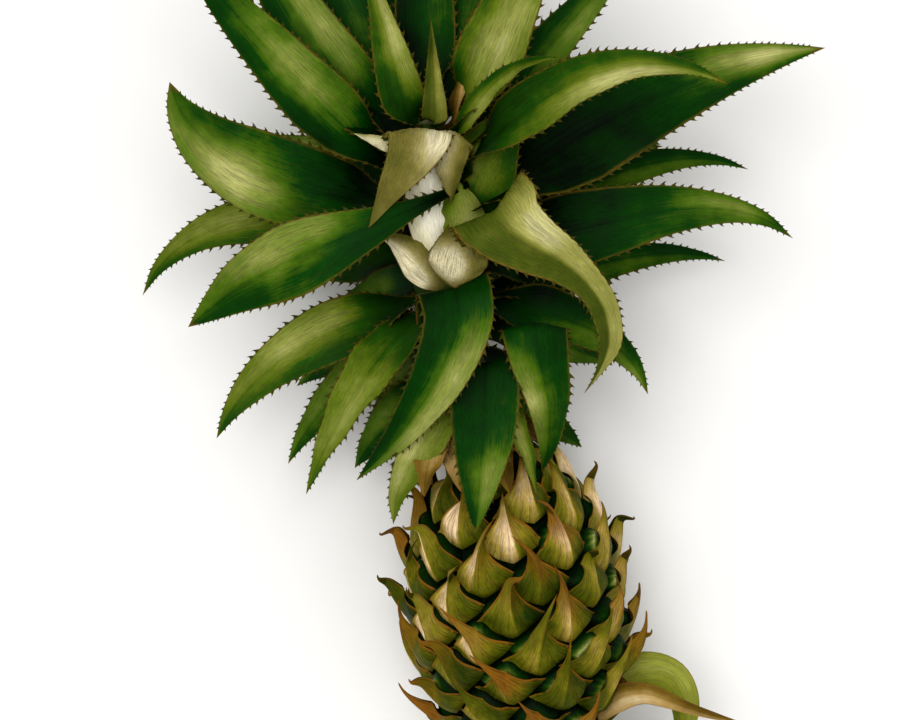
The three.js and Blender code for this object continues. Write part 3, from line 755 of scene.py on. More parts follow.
TONE_PLACES = (0, 0.38, 0.57, 0.8, 1)  # where each of the tones lies, from dark to light
TONE_OF_PLAIN = 0.3  # place of tissue that is neither pale nor shaded
PALE_REACH = 0.7  # how far up paleness and painted highlights move it
SHADE_REACH = 0.3  # and how far down the painted shade does
BLANCHED = (0.8, 0.76, 0.52)
HAIR_FINENESS = (3.1, 6)  # of the finest fibres, over that of the streaks
PATCHES = 42.0  # fineness of the mottling, per metre
BROAD_PATCHES = 13.0
GLOSS = 0.03
RELIEF = 0.3
RELIEF_HEIGHT = 0.0006
TISSUES = {
    "deep": Tissue(
        ((0.0002, 0.003, 0.0001), (0.002, 0.042, 0.0004), (0.062, 0.134, 0.003), (0.21, 0.25, 0.042),
         (0.46, 0.46, 0.15)),
        (0.12, 0.075, 0.006),
    ),
    "green": Tissue(
        ((0.0006, 0.009, 0.0002), (0.012, 0.063, 0.0008), (0.105, 0.154, 0.005), (0.24, 0.27, 0.048),
         (0.48, 0.47, 0.16)),
        (0.13, 0.075, 0.006),
    ),
    "fresh": Tissue(
        ((0.008, 0.03, 0.001), (0.075, 0.11, 0.003), (0.18, 0.2, 0.012), (0.31, 0.33, 0.045),
         (0.5, 0.5, 0.16)),
        (0.16, 0.1, 0.01),
    ),
    "khaki": Tissue(
        ((0.003, 0.02, 0.0005), (0.055, 0.08, 0.004), (0.155, 0.165, 0.018), (0.36, 0.35, 0.085),
         (0.64, 0.6, 0.27)),
        (0.2, 0.085, 0.012),
    ),
    "tan": Tissue(
        ((0.006, 0.02, 0.001), (0.07, 0.072, 0.008), (0.155, 0.135, 0.022), (0.36, 0.31, 0.11),
         (0.76, 0.68, 0.42)),
        (0.1, 0.055, 0.008),
    ),
    "cream": Tissue(
        ((0.02, 0.05, 0.003), (0.17, 0.2, 0.035), (0.48, 0.44, 0.19), (0.8, 0.74, 0.5), (0.94, 0.89, 0.72)),
        (0.24, 0.11, 0.03), fibres=(40, 2), depth=0.2,
    ),
    "dry": Tissue(
        ((0.012, 0.012, 0.001), (0.085, 0.045, 0.004), (0.22, 0.13, 0.014), (0.5, 0.33, 0.11),
         (0.78, 0.62, 0.36)),
        (0.15, 0.055, 0.006), rough=0.6,
    ),
    # a leaf's underside: greyer and darker than its upper side, its own grey green darkened as painted shade
    # between the leaves
    "underside": Tissue(
        ((0.001, 0.01, 0.0005), (0.012, 0.045, 0.002), (0.075, 0.1, 0.01), (0.18, 0.2, 0.04),
         (0.34, 0.35, 0.12)),
        (0.12, 0.07, 0.01), rough=0.62,
    ),
    "bract": Tissue(
        ((0.006, 0.02, 0.0003), (0.082, 0.091, 0.0015), (0.2, 0.17, 0.008), (0.42, 0.29, 0.06),
         (0.88, 0.64, 0.36)),
        (0.23, 0.09, 0.006), fibres=(26, 2.2), depth=0.62, mottle=0.26,
    ),
    "bract_inside": Tissue(
        ((0.004, 0.012, 0.0004), (0.035, 0.042, 0.002), (0.1, 0.085, 0.008), (0.22, 0.17, 0.03),
         (0.4, 0.3, 0.1)),
        (0.14, 0.06, 0.006), fibres=(24, 2.2), rough=0.6,
    ),
    "eye": Tissue(
        ((0.0003, 0.004, 0.0002), (0.004, 0.034, 0.0006), (0.05, 0.085, 0.004), (0.17, 0.22, 0.03),
         (0.5, 0.54, 0.2)),
        (0.16, 0.12, 0.02), fibres=(40, 2), rough=0.46,
    ),
    # the body in the furrows: dark green darkened nearly to black as painted shade
    "furrow": Tissue(
        ((0.0005, 0.003, 0.0003), (0.002, 0.008, 0.001), (0.01, 0.02, 0.002), (0.02, 0.03, 0.004),
         (0.03, 0.04, 0.006)),
        (0.03, 0.02, 0.005), rough=0.7,
    ),
    "stalk": Tissue(
        ((0.01, 0.03, 0.002), (0.09, 0.11, 0.015), (0.19, 0.21, 0.045), (0.36, 0.36, 0.13),
         (0.55, 0.53, 0.26)),
        (0.18, 0.1, 0.02), fibres=(70, 4), rough=0.6,
    ),
    "cut": Tissue(
        ((0.14, 0.12, 0.04), (0.42, 0.37, 0.18), (0.66, 0.6, 0.36), (0.8, 0.75, 0.52), (0.88, 0.85, 0.66)),
        (0.36, 0.22, 0.06), rough=0.7,
    ),
    "spine": Tissue(
        ((0.01, 0.02, 0.001), (0.035, 0.04, 0.003), (0.09, 0.065, 0.006), (0.16, 0.11, 0.015),
         (0.2, 0.15, 0.03)),
        (0.05, 0.022, 0.003),
    ),
}


def tissue_material(name):
    """A material for one tissue. It reads the tint painted on each point: its paleness with any painted
    highlight and painted light, its dryness, its painted shade and how blanched it is.
    """
    full_name = f"{name}_tissue"
    if full_name in bpy.data.materials:
        return bpy.data.materials[full_name]
    kind = TISSUES[name]
    wires = Wires(full_name)
    across_along = wires.node("ShaderNodeUVMap", uv_map="UVMap").outputs["UV"]
    place = wires.node("ShaderNodeTexCoord").outputs["Object"]
    tint = wires.node("ShaderNodeAttribute", attribute_name="tint")
    parts = wires.node("ShaderNodeSeparateColor")
    wires.set(parts.inputs["Color"], tint.outputs["Color"])
    pale, dry, shade = parts.outputs
    fibres = wires.noise(wires.stretch(across_along, (*kind.fibres, 1)), 1.0, 4.0, 0.65)
    fineness = (kind.fibres[0] * HAIR_FINENESS[0], kind.fibres[1] * HAIR_FINENESS[1], 1)
    hairs = wires.noise(wires.stretch(across_along, fineness), 1.0, 2.0)
    mottle = wires.noise(place, PATCHES, 4.0, 0.6)
    broad = wires.noise(place, BROAD_PATCHES, 2.0)
    light = wires.maths("ADD", pale, wires.ramp(mottle, 0.3, 0.8, -kind.mottle, kind.mottle))
    light = wires.maths("ADD", light, wires.ramp(fibres, 0.3, 0.7, -0.12, 0.16))
    shaded = wires.maths("ADD", shade, wires.ramp(broad, 0.35, 0.75, -0.1, 0.1))
    light = wires.maths("ADD", wires.maths("MULTIPLY", light, PALE_REACH), TONE_OF_PLAIN)
    tone = wires.maths("SUBTRACT", light, wires.maths("MULTIPLY", shaded, SHADE_REACH))
    colour = wires.tones(tone, kind.tones)
    dried = wires.maths("ADD", dry, wires.ramp(mottle, 0.35, 0.75, -0.15, 0.1))
    colour = wires.blend(wires.ramp(dried, 0.1, 0.9), colour, kind.dry)
    colour = wires.blend(tint.outputs["Alpha"], colour, BLANCHED)
    streaks = wires.ramp(fibres, 0.42, 0.62, 1.0, 1.0 - kind.depth)
    grain = wires.ramp(hairs, 0.3, 0.7, 1.22, 0.76)
    colour = wires.blend(1.0, colour, wires.maths("MULTIPLY", streaks, grain), "MULTIPLY")
    rough = wires.ramp(mottle, 0.2, 0.8, kind.rough - 0.08, kind.rough + 0.14)
    bump = wires.node("ShaderNodeBump")
    bump.inputs["Strength"].default_value = RELIEF
    bump.inputs["Distance"].default_value = RELIEF_HEIGHT
    wires.set(bump.inputs["Height"], wires.maths("ADD", fibres, wires.maths("MULTIPLY", hairs, 0.4)))
    wires.set(wires.shader.inputs["Base Color"], colour)
    wires.set(wires.shader.inputs["Specular IOR Level"], GLOSS)
    wires.set(wires.shader.inputs["Roughness"], rough)
    wires.set(wires.shader.inputs["Normal"], bump.outputs["Normal"])
    return wires.material


# ---- leaves ------------------------------------------------------------------------


def blade_width(leaf, share):
    """Width at a share of the length, as a share of the widest."""
    if share < leaf.belly:
        return mix(leaf.neck, 1, math.sin(math.pi / 2 * (share / leaf.belly) ** leaf.rise))
    past = (share - leaf.belly) / (1 - leaf.belly)
    tail = leaf.tail * hill(past, 0.72, 0.16) * (1 - past**8)
    return (1 - past**leaf.point) * (1 - BLADE_FINENESS * past) + tail


def level_out(heading, height, fallback):
    """Keeps a heading from falling faster than the height over the floor allows."""
    steepest = -clamp(height / FLOOR_EASE)
    if heading.z >= steepest:
        return heading
    level = Vector((heading.x, heading.y, 0))
    if level.length < UPRIGHT:
        level = Vector((fallback.x, fallback.y, 0))
    level = level.normalized() * math.sqrt(1 - steepest**2)
    level.z = steepest
    return level


def turn_to_sky(natural, heading, amount):
    """Turns a blade's upper side from its natural direction towards the sky."""
    upper = (natural - heading * natural.dot(heading)).normalized()
    sky = UP - heading * heading.z
    if sky.length > UPRIGHT:
        upper = upper.lerp(sky.normalized(), amount)
    return (upper - heading * upper.dot(heading)).normalized()


def stem_at(leaf, along):
    """Centre, direction and radius of the stem at a leaf, `along` mm above its foot."""
    if leaf in STALK_LEAVES:
        return FRUIT_FOOT - FRUIT_AXIS * (leaf.up - along), FRUIT_AXIS, STALK_RADIUS
    u = leaf.up + along / CORE_LENGTH
    centre, axis = core_point(clamp(u, 0, 1))
    return centre + axis * (u - clamp(u, 0, 1)) * CORE_LENGTH, axis, core_radius(u)


def follow_path(leaf):
    """Stations along a midrib that goes through given points. The upper side faces the
    sky where the leaf is most level, and keeps with the leaf from there."""
    marks = [Vector(mark) for mark in leaf.path]
    count = PATH_STEPS * (len(marks) - 1)
    fine = [along_curve(marks, i / PATH_STEPS)[0] for i in range(count + 1)]
    run = [0.0]
    for a, b in zip(fine, fine[1:]):
        run.append(run[-1] + (b - a).length)
    goals = np.linspace(0, run[-1], PATH_STATIONS + 1)
    columns = [np.interp(goals, run, [point[axis] for point in fine]) for axis in range(3)]
    points = [Vector(place) for place in zip(*columns)]
    headings = [(b - a).normalized() for a, b in zip(points, points[1:])]
    headings.append(headings[-1])
    level = min(range(len(points)), key=lambda i: abs(headings[i].z))
    uppers = [None] * len(points)
    for order in (range(level, len(points)), range(level, -1, -1)):
        upper = UP
        for i in order:
            upper = (upper - headings[i] * upper.dot(headings[i])).normalized()
            uppers[i] = upper
    return points, uppers


def stations(leaf):
    """Points along the midrib and the directions of the upper side there."""
    if leaf.path:
        return follow_path(leaf)
    start, end, power = leaf.bend
    foot, axis, _ = stem_at(leaf, 0)
    point = foot + around(axis, math.radians(leaf.side)) * BLADE_ROOT
    points, uppers = [], []
    for i in range(BLADE_STATIONS + 1):
        share = i / BLADE_STATIONS
        angle = math.radians(mix(start, end, share**power))
        outward = around(axis, math.radians(leaf.side + leaf.sway * share))
        free = axis * math.cos(angle) + outward * math.sin(angle)
        heading = level_out(free, point.z - FLOOR_GAP, outward)
        natural = axis * math.sin(angle) - outward * math.cos(angle)
        uppers.append(turn_to_sky(natural, heading, leaf.face * smooth(share, 0, TURNED_BY)))
        points.append(point.copy())
        point += heading * leaf.length / BLADE_STATIONS
    return points, uppers


def along_curve(points, t):
    """A smooth curve through points: the place and the direction at t."""
    i = min(int(t), len(points) - 2)
    t -= i
    b, c = points[i], points[i + 1]
    a = points[i - 1] if i else b * 2 - c
    d = points[i + 2] if i + 2 < len(points) else c * 2 - b
    place = (b * 2 + (c - a) * t + (a * 2 - b * 5 + c * 4 - d) * t**2 + (b * 3 - a - c * 3 + d) * t**3) / 2
    slope = ((c - a) + (a * 2 - b * 5 + c * 4 - d) * 2 * t + (b * 3 - a - c * 3 + d) * 3 * t**2) / 2
    return place, slope.normalized()


def blade_rings(leaf, draw):
    """Rings of points round a leaf from its clasping base to near its tip, with the
    share along it and the weight of the clasp for each ring."""
    points, uppers = stations(leaf)
    across = np.linspace(-1, 1, COLUMNS + 1)
    gutter = np.sqrt(across**2 + leaf.crease**2) - leaf.crease
    gutter /= gutter[0]
    ribs = np.where(np.arange(COLUMNS + 1) % 2, 1.0, -1.0) * (1 - across**4)
    rib_depth = bpy.context.scene.pineapple_leaves.rib_depth / MM
    waves = [(draw.uniform(*WAVES), draw.uniform(0, WAVE_TURN)) for _ in range(2)]
    rings, shares, clasps = [], [], []
    sheath = [-(1 - i / SHEATH_ROWS) for i in range(SHEATH_ROWS)] if leaf.clasping else []
    for place in [*sheath, *((i / ROWS) ** ROW_SPREAD * LAST_ROW for i in range(ROWS + 1))]:
        share = max(place, 0.0)
        t = share * (len(points) - 1)
        point, heading = along_curve(points, t)
        i = min(int(t), len(points) - 2)
        upper = uppers[i].lerp(uppers[i + 1], t - i)
        upper = (upper - heading * upper.dot(heading)).normalized()
        right = heading.cross(upper)
        width = leaf.width * blade_width(leaf, share)
        foot, axis, _ = stem_at(leaf, 0)
        up_stem = (point - foot).dot(axis) if place > 0 else SHEATH_DEPTH * place
        centre, axis, radius = stem_at(leaf, up_stem)
        away = ((point - centre) - axis * (point - centre).dot(axis)).length
        clasp = 1.0 if place <= 0 else 1 - smooth(away, BLADE_ROOT, radius + SHEATH_GAP + SHEATH_EASE)
        clasp *= (1 - smooth(share, 0.08, 0.25)) * leaf.clasping
        slim = smooth(1 - share, 0, 0.25)
        thick = mix(EDGE_THICKNESS, MIDRIB_THICKNESS, 1 - across**2) * mix(THIN_TIP, 1, slim)
        wave = [WAVE_HEIGHT * math.sin(share * pace * WAVE_TURN + start) for pace, start in waves]
        edge = np.where(across < 0, wave[0], wave[1]) * across**2 * slim * smooth(share, 0.1, 0.3)
        lift = leaf.fold * width * gutter + edge
        top = lift + thick / 2 + ribs * rib_depth * slim
        base = lift - thick / 2
        flat = np.array(point) + np.outer(across * width / 2, np.array(right))
        blade_top = flat + np.outer(top, np.array(upper))
        blade_base = flat + np.outer(base, np.array(upper))
        if clasp > 0:
            round_top, round_base = sheath_row(leaf, centre, axis, radius, across, place, thick)
            blade_top = mix(blade_top, round_top, clasp)
            blade_base = mix(blade_base, round_base, clasp)
        rings.append(np.vstack([blade_top, blade_base[COLUMNS - 1 : 0 : -1]]))
        shares.append(place)
        clasps.append(clasp)
    return np.array(rings), np.array(shares), np.array(clasps), points[-1]


def sheath_row(leaf, centre, axis, radius, across, place, thick):
    """The two sides of a leaf's base where it is wrapped round the stem."""
    spread = min(SHEATH_SPREAD, 0.75 * leaf.width / radius)
    ways = [np.array(around(axis, math.radians(leaf.side) + x * spread)) for x in across]
    reach = radius + mix(-SHEATH_SUNK, SHEATH_GAP, smooth(place, -1, 0))
    middles = [np.array(centre + axis * (SHEATH_RISE * x * x)) for x in across]
    outer = np.array([middle + way * reach for middle, way in zip(middles, ways)])
    inner = np.array([middle + way * (reach - t) for middle, way, t in zip(middles, ways, thick)])
    # the inner side of the base is the upper side of the blade
    return inner, outer


def keep_clear(rings):
    """Lifts a blade's rings off the floor, the upper side a little more."""
    off_floor(rings)
    upper = rings[:, : COLUMNS + 1]
    upper[..., 2] = np.maximum(upper[..., 2], FLOOR_CLEARANCE + LYING_THICKNESS)


def crowd_shade(rings):
    """Painted shade where the leaves crowd together at a place: most under and beside the core."""
    x, y, z = np.moveaxis(rings, -1, 0)
    run = np.clip((y - CORE_FOOT.y) / (CORE_TIP.y - CORE_FOOT.y), 0, 1)
    beside = np.abs(x - CORE_FOOT.x + (CORE_FOOT.x - CORE_TIP.x) * run)
    beyond = smooth(y - CORE_FOOT.y, *CROWD_START)
    return CROWD_SHADE * beyond * (1 - smooth(beside, *CROWD_WIDTH)) * (1 - smooth(z, *CROWD_HEIGHT))


def leaf_tints(leaf, rings, shares, clasps, draw):
    """Paints a leaf: its painted highlight and the painted light on one half, its pale edges, brown edges and
    tip, painted shade at its base and white foot.
    """
    across = np.concatenate([np.linspace(-1, 1, COLUMNS + 1), np.linspace(1, -1, COLUMNS + 1)[1:-1]])
    share = np.maximum(shares, 0)[:, None]
    x = np.broadcast_to(across, rings.shape[:2])
    middle, off, reach, strength = leaf.glow
    # painted highlight: a pale patch on the blade
    patch = hill(share, middle + draw.uniform(-0.04, 0.04), reach) * hill(x, off, 0.7) * strength
    soft = clamp(0.1 + 3 * leaf.crease, 0, 0.7)
    # painted light: one half of the blade is paler, as if lit from that side
    half = abs(leaf.lit) * smooth(x * np.sign(leaf.lit), -soft, soft) * smooth(share, 0.05, 0.35)
    pale = leaf.tone * smooth(share, -0.3, 0.5) + HIGHLIGHT_PALENESS * patch + LIT_HALF_PALENESS * half
    pale += EDGE_PALENESS * smooth(np.abs(x), 0.85, 0.97)
    edge = smooth(np.abs(x), 0.93, 1.0)
    tip = smooth(share + 0.02 * np.abs(x), 0.95, 1.0)
    dry = np.clip(DRYNESS * (edge + tip), 0, 1)
    # painted shade: darkest at the base, weaker on the clasping base, and along the groove of the midrib and
    # where leaves crowd together
    shade = 1 - smooth(share, 0.0, max(1.25 * leaf.dark, 0.03))
    shade = shade * mix(0.35, 1, smooth(shares, -0.2, 0.12))[:, None]
    shade = shade + 0.3 * hill(x, 0, 0.1) * (leaf.dark > 0) + crowd_shade(rings) * (leaf.finish != "cream")
    blanched = np.clip(clasps, 0, 1)[:, None] * np.ones_like(x) * leaf.blanch
    shade = np.clip(shade, 0, 1) * (1 - blanched)
    return np.stack([pale, dry * (1 - blanched), shade, blanched], axis=-1)


def add_spines(skin, leaf, rings, shares, draw):
    """Hooked spines along both edges, pointing to the tip."""
    settings = bpy.context.scene.pineapple_leaves
    spacing = settings.spine_spacing / MM * mix(0.5, 1, leaf.spines)
    length = settings.spine_length / MM * leaf.spines
    for column, inner in ((0, 1), (COLUMNS, COLUMNS - 1)):
        edge = rings[:, column]
        steps = np.linalg.norm(np.diff(edge, axis=0), axis=1)
        run = np.concatenate([[0], np.cumsum(steps)])
        place = draw.uniform(0.2, 1) * spacing
        while place < run[-1] - spacing * 0.4:
            i = int(np.searchsorted(run, place)) - 1
            t = (place - run[i]) / max(steps[i], 1e-6)
            share = mix(shares[i], shares[i + 1], t)
            if share > SPINES_FROM:
                foot = mix(edge[i], edge[i + 1], t)
                forward = (edge[i + 1] - edge[i]) / max(steps[i], 1e-6)
                out = foot - mix(rings[i, inner], rings[i + 1, inner], t)
                out -= forward * out.dot(forward)
                out /= max(np.linalg.norm(out), 1e-6)
                size = length * draw.uniform(*SPINE_SIZES) * mix(1, 0.45, smooth(share, 0.55, 1))
                add_spine(skin, foot, forward, out, size)
            place += spacing * draw.uniform(*SPINE_GAPS) * mix(1, 0.6, smooth(share, 0.6, 1))


def add_spine(skin, foot, forward, out, size):
    """One flat hooked spine with a wide base."""
    up = np.cross(out, forward)
    if up[2] < 0:
        up = -up
    rings = []
    for reach, ahead, half, thick in SPINE_SECTIONS:
        middle = foot + out * size * reach + forward * size * ahead
        along, above = forward * size * half, up * size * thick
        rings.append([middle - along, middle + above, middle + along, middle - above])
    rings = np.array(rings)
    if np.dot(np.cross(rings[0, 1] - rings[0, 0], rings[0, 2] - rings[0, 0]), out) > 0:
        rings = rings[:, ::-1]
    point = foot + out * size * SPINE_POINT[0] + forward * size * SPINE_POINT[1]
    off_floor(rings)
    off_floor(point)
    tints = [[(0.2, dry, 0, 0)] * 4 for dry in SPINE_DRYNESS]
    skin.tube(rings, tints, even(4), [0, 0.4, 0.8], 2, tip=(point, (0, 1, 0, 0)), foot=False)


def lead_back(leaf, rings, tints, shares):
    """Leads a folded leaf back from its first ring to the stem, ever narrower."""
    count = len(leaf.root)
    if not count:
        return rings, tints, shares
    section = rings[0] - np.array(leaf.path[0])
    first = [np.array(mark) + section * mix(ROOT_WIDTH, 1, i / count) for i, mark in enumerate(leaf.root)]
    before = [-ROOT_SHARE * (count - i) for i in range(count)]
    tints = np.concatenate([np.repeat(tints[:1], count, axis=0), tints])
    return np.concatenate([first, rings]), tints, np.concatenate([before, shares])


def add_leaf(skin, leaf, draw, finishes, on_rind=False):
    """Adds a whole leaf: the blade, its clasping base and its spines."""
    rings, shares, clasps, tip = blade_rings(leaf, draw)
    if on_rind:
        rest_on_rind(rings)
    keep_clear(rings)
    tints = leaf_tints(leaf, rings, shares, clasps, draw)
    tip = rings[-1].mean(axis=0) if on_rind else np.array(tip)
    off_floor(tip)
    sides = [side for side in finishes for _ in range(COLUMNS)]
    tube, painted, along = lead_back(leaf, rings, tints, shares)
    skin.tube(tube, painted, even(2 * COLUMNS, 2), along, sides, tip=(tip, (0, 1, 0, 0)))
    if leaf.spines:
        add_spines(skin, leaf, rings, shares, draw)


def build_leaf(leaf):
    """Makes a leaf's own piece. The finish of its underside goes with that of its top."""
    under = leaf.finish if leaf.finish in {"cream", "dry"} else "underside"
    skin = Skin()
    add_leaf(skin, leaf, random.Random(leaf.name), (0, 1))
    skin.build(f"{leaf.name}_blade", (leaf.finish, under, "spine"), leaf.slot, leaf.stands_for or leaf.name)


def under_leaves():
    """The leaves under the core, from the lowest to the highest."""
    leaves = []
    for i in range(UNDER_COUNT):
        share = i / (UNDER_COUNT - 1)
        angle = mix(*UNDER_ANGLE, share)
        leaves.append(
            Leaf(
                f"leaf_under_{i + 1}",
                up=mix(*UNDER_UP, share),
                side=UNDER_SIDES[i % len(UNDER_SIDES)],
                length=mix(*UNDER_LENGTH, share),
                width=UNDER_WIDTH,
                bend=(angle, angle + UNDER_DROOP, 1),
                face=0.95,
                finish="deep" if i % 3 else "green",
            )
        )
    return leaves


# ---- the rind ----------------------------------------------------------------------


def eye_cells(centres):
    """For each eye, the directions and distances of the middles between it and its
    neighbours, from the hull round all the centres."""
    shell = bmesh.new()
    for centre in centres:
        shell.verts.new(centre)
    bmesh.ops.convex_hull(shell, input=shell.verts)
    shell.verts.ensure_lookup_table()
    cells = []
    for vertex, centre in zip(shell.verts, centres):
        cells.append([(edge.other_vert(vertex).co - centre) / 2 for edge in vertex.link_edges])
    shell.free()
    return cells


def eye_frame(centre):
    """Outward, towards the crown along the rind, and to the right across it."""
    normal = barrel_normal(centre)
    up = (FRUIT_AXIS - normal * FRUIT_AXIS.dot(normal)).normalized()
    return normal, up, up.cross(normal)


def cell_reach(cell, right, up, angle):
    """How far a rounded cell reaches from its eye's centre at an angle."""
    way = right * math.cos(angle) + up * math.sin(angle)
    total = sum(max(0.0, way.dot(step.normalized()) / step.length) ** CELL_SHARPNESS for step in cell)
    return total ** (-1 / CELL_SHARPNESS)


def rind_point(centre, right, up, x, y, height):
    """A place `height` over the barrel, beside an eye's centre."""
    surface = onto_barrel(centre + right * x + up * y)
    point = surface + barrel_normal(surface) * height
    point.z = max(point.z, FLOOR_CLEARANCE)
    return point


def dome_height(share, rise):
    """Height of an eye over the barrel, at a share of the way out to its furrow."""
    return rise * (1 - share**3) - FURROW_DEPTH * share**9


def add_eye(skin, centre, cell, draw):
    """The domed body of an eye, in three lobes, with painted shade at its rim and a pale fringe with a
    painted highlight on one side.
    """
    _, up, right = eye_frame(centre)
    rise = bpy.context.scene.pineapple_fruit.eye_height / MM
    turn = draw.uniform(*EYE_TURNS)
    tone = draw.uniform(*EYE_TONES)
    bright = draw.uniform(*EYE_HIGHLIGHTS)
    shares = EYE_RINGS[::-1]
    rings, tints = [], []
    for share in shares:
        ring, tint = [], []
        for k in reversed(range(EYE_SIDES)):
            angle = 2 * math.pi * k / EYE_SIDES
            reach = cell_reach(cell, right, up, angle) * share * EYE_FILL
            lobes = 1 + 0.5 * math.cos(3 * (angle + turn) - math.pi / 2) * share * (1 - share)
            x, y = reach * math.cos(angle), reach * math.sin(angle)
            ring.append(rind_point(centre, right, up, x, y, dome_height(share, rise) * lobes))
            # the pale fringe, brighter on one side as a painted highlight, and painted shade at the rim where
            # the dome falls into the furrow
            fringed = share + 0.03 * math.sin(angle * 15 + turn * 9)
            glow = hill(fringed, 0.64, 0.14) * clamp(0.2 + math.cos(angle - 2.3)) * bright + tone
            tint.append((clamp(glow), 0, smooth(fringed, 0.58, 0.88), 0))
        rings.append(ring)
        tints.append(tint)
    top = rind_point(centre, right, up, 0, 0, rise)
    along = [1 - share for share in shares]
    skin.tube(np.array(rings), tints, even(EYE_SIDES), along, 0, tip=(top, (0.2, 0, 0, 0)), foot=False)


def bract_place(x, q, half_width, cell_height, length, lean, hook):
    """Place on the rind of a bract's point: x across from -1 to 1, q from base to tip."""
    narrow = 0.9 * (1 - q) ** 3.6 + 0.1 * (1 - q)
    base = cell_height * (-0.98 + 0.78 * abs(x) ** 1.15)
    ahead = mix(base, length - cell_height, q) - hook * smooth(q, 0.55, 1)
    return half_width * x * narrow + lean * q**2.2, ahead


def add_bract(skin, centre, cell, draw, roof):
    """The bract of one eye: a wide scale that lies on its lower half, keeled like a
    tent, and drawn out to a thin curled tip. roof tells the room below the leaves."""
    _, up, right = eye_frame(centre)
    settings = bpy.context.scene.pineapple_fruit
    eye_rise = settings.eye_height / MM
    half_width = (cell_reach(cell, right, up, 0) + cell_reach(cell, right, up, math.pi)) / 2 * BRACT_SPREAD
    height = cell_reach(cell, right, up, -math.pi / 2)
    share = (centre - FRUIT_MIDDLE).dot(FRUIT_AXIS) / HALF_LENGTH
    shoulder = mix(0.8, 1, smooth(1 - abs(share), 0, 0.3))
    length = settings.bract_length / MM * draw.uniform(*BRACT_LENGTHS) * shoulder
    rise = settings.bract_rise / MM * draw.uniform(*BRACT_RISES)
    lean = draw.uniform(*BRACT_LEANS)
    hooked = draw.random() < HOOKED_SHARE
    curl = draw.uniform(*(HOOKED_CURLS if hooked else BRACT_CURLS))
    hook = draw.uniform(*HOOKS) if hooked else 0
    keel = draw.uniform(*KEELS)
    green = draw.uniform(*GREENNESS)
    rust = max(draw.uniform(*RUST), 0)
    tone = draw.uniform(*BRACT_TONES)
    # painted light: the painted highlights are stronger on bracts towards the left of the fruit and weaker
    # towards the right
    light_from_left = clamp(1.05 - 0.7 * (centre - FRUIT_MIDDLE).x / BARREL_RADIUS, 0.3, 1.35)
    bract_highlight = light_from_left * (draw.uniform(*BRACT_HIGHLIGHTS) + 0.35 * smooth(share, 0.3, 0.8))
    rings, tints = [], []
    along = [(i / BRACT_ROWS) ** 0.9 for i in range(BRACT_ROWS)]
    for q in along:
        ridge = BRACT_EASE + rise * (1 - (1 - q) ** 2.2) + curl * smooth(q, 0.5, 1)
        top, base, top_tint, base_tint = [], [], [], []
        for k, x in enumerate(np.linspace(-1, 1, BRACT_COLUMNS + 1)):
            side, ahead = bract_place(x, q, half_width, height, length, lean, hook)
            reach = cell_reach(cell, right, up, math.atan2(ahead, side))
            dome = dome_height(min(math.hypot(side, ahead) / reach, 1), eye_rise)
            edge_height = max(dome, -0.8) + 0.3 + 1.3 * q + 2.4 * abs(x) ** 5 * hill(q, 0.25, 0.25)
            off = abs(x - keel * (1 - abs(x)))
            sag = edge_height + max(ridge - edge_height, 0) * (1 - min(off, 1)) ** 1.7
            fold = ridge - 0.95 * off * half_width * (1 - q) ** 2.2 - 0.5 * off
            rib = 0.14 * (1 if k % 2 else -1) * (1 - abs(x)) * (1 - q)
            out = min(max(sag, fold) + rib, roof(centre, right, up, side, ahead))
            top.append(rind_point(centre, right, up, side, ahead, out + mix(0.6, 0.35, q)))
            base.append(rind_point(centre, right, up, side, ahead, out - 0.1))
            # painted light: the facet left of the keel is lit, with a painted highlight near the ridge; the
            # facet right of it is painted darker and browner as shade
            lit = 1.0 if x < keel else 0.1
            light = tone + bract_highlight * lit * hill(q, 0.38, 0.3) * (1 - off) ** 0.35
            withered = 0.7 * smooth(abs(x), 0.88, 1.0) + 0.4 * smooth(q, 0.6, 0.95)
            dry = clamp(withered + rust * smooth(q, 0.05, 0.5) + 0.15 * (x > keel))
            # darker and greener towards the lower corners, and painted shade on the facet right of the keel
            shade = green * (1 - smooth(q, 0.05, 0.45)) * clamp(off * 1.4) + 0.3 * (x > keel)
            top_tint.append((clamp(light), dry, clamp(shade), 0))
            base_tint.append((0.1, dry, 0.3, 0))
        rings.append([*top, *base[BRACT_COLUMNS - 1 : 0 : -1]])
        tints.append([*top_tint, *base_tint[BRACT_COLUMNS - 1 : 0 : -1]])
    side, ahead = bract_place(0, 1, half_width, height, length, lean, hook)
    last = min(BRACT_EASE + rise + curl, roof(centre, right, up, side, ahead))
    tip = rind_point(centre, right, up, side, ahead, last), (0.3, 0.8, 0, 0)
    sides = [side for side in (0, 1) for _ in range(BRACT_COLUMNS)]
    skin.tube(np.array(rings), tints, even(2 * BRACT_COLUMNS, 2), along, sides, tip)


def roof_of(leaf_tree):
    """A function that tells the room between the rind and the leaves over it."""

    def room(centre, right, up, side, ahead):
        surface = onto_barrel(centre + right * side + up * ahead)
        normal = barrel_normal(surface)
        distance = leaf_tree.ray_cast(surface + normal * 0.1, normal, ROOF_REACH)[3]
        return math.inf if distance is None else max(distance - ROOF_ROOM, LEAST_ROOM)

    return room


def add_furrows(skin):
    """The body of the fruit under its eyes, seen only in the furrows, its dark green darkened nearly to black
    as painted shade of the deep furrows.
    """
    rows, sides = 40, 64
    reach = FRUIT_AXIS * (HALF_LENGTH - 2)
    rings = []
    for i in range(rows + 1):
        share = -math.cos(math.pi * (i + 0.5) / (rows + 1))
        radius = max(barrel_radius(share) - BODY_DEPTH, 1)
        turns = [-2 * math.pi * k / sides for k in range(sides)]
        rings.append([FRUIT_MIDDLE + reach * share + around(FRUIT_AXIS, turn) * radius for turn in turns])
    rings = np.array(rings)
    off_floor(rings)
    tints = np.zeros((*rings.shape[:2], 4))
    tip = FRUIT_MIDDLE + reach, (0, 0, 0, 0)
    skin.tube(rings, tints, even(sides, 4), even(rows), 1, tip)


# ---- the stem ----------------------------------------------------------------------


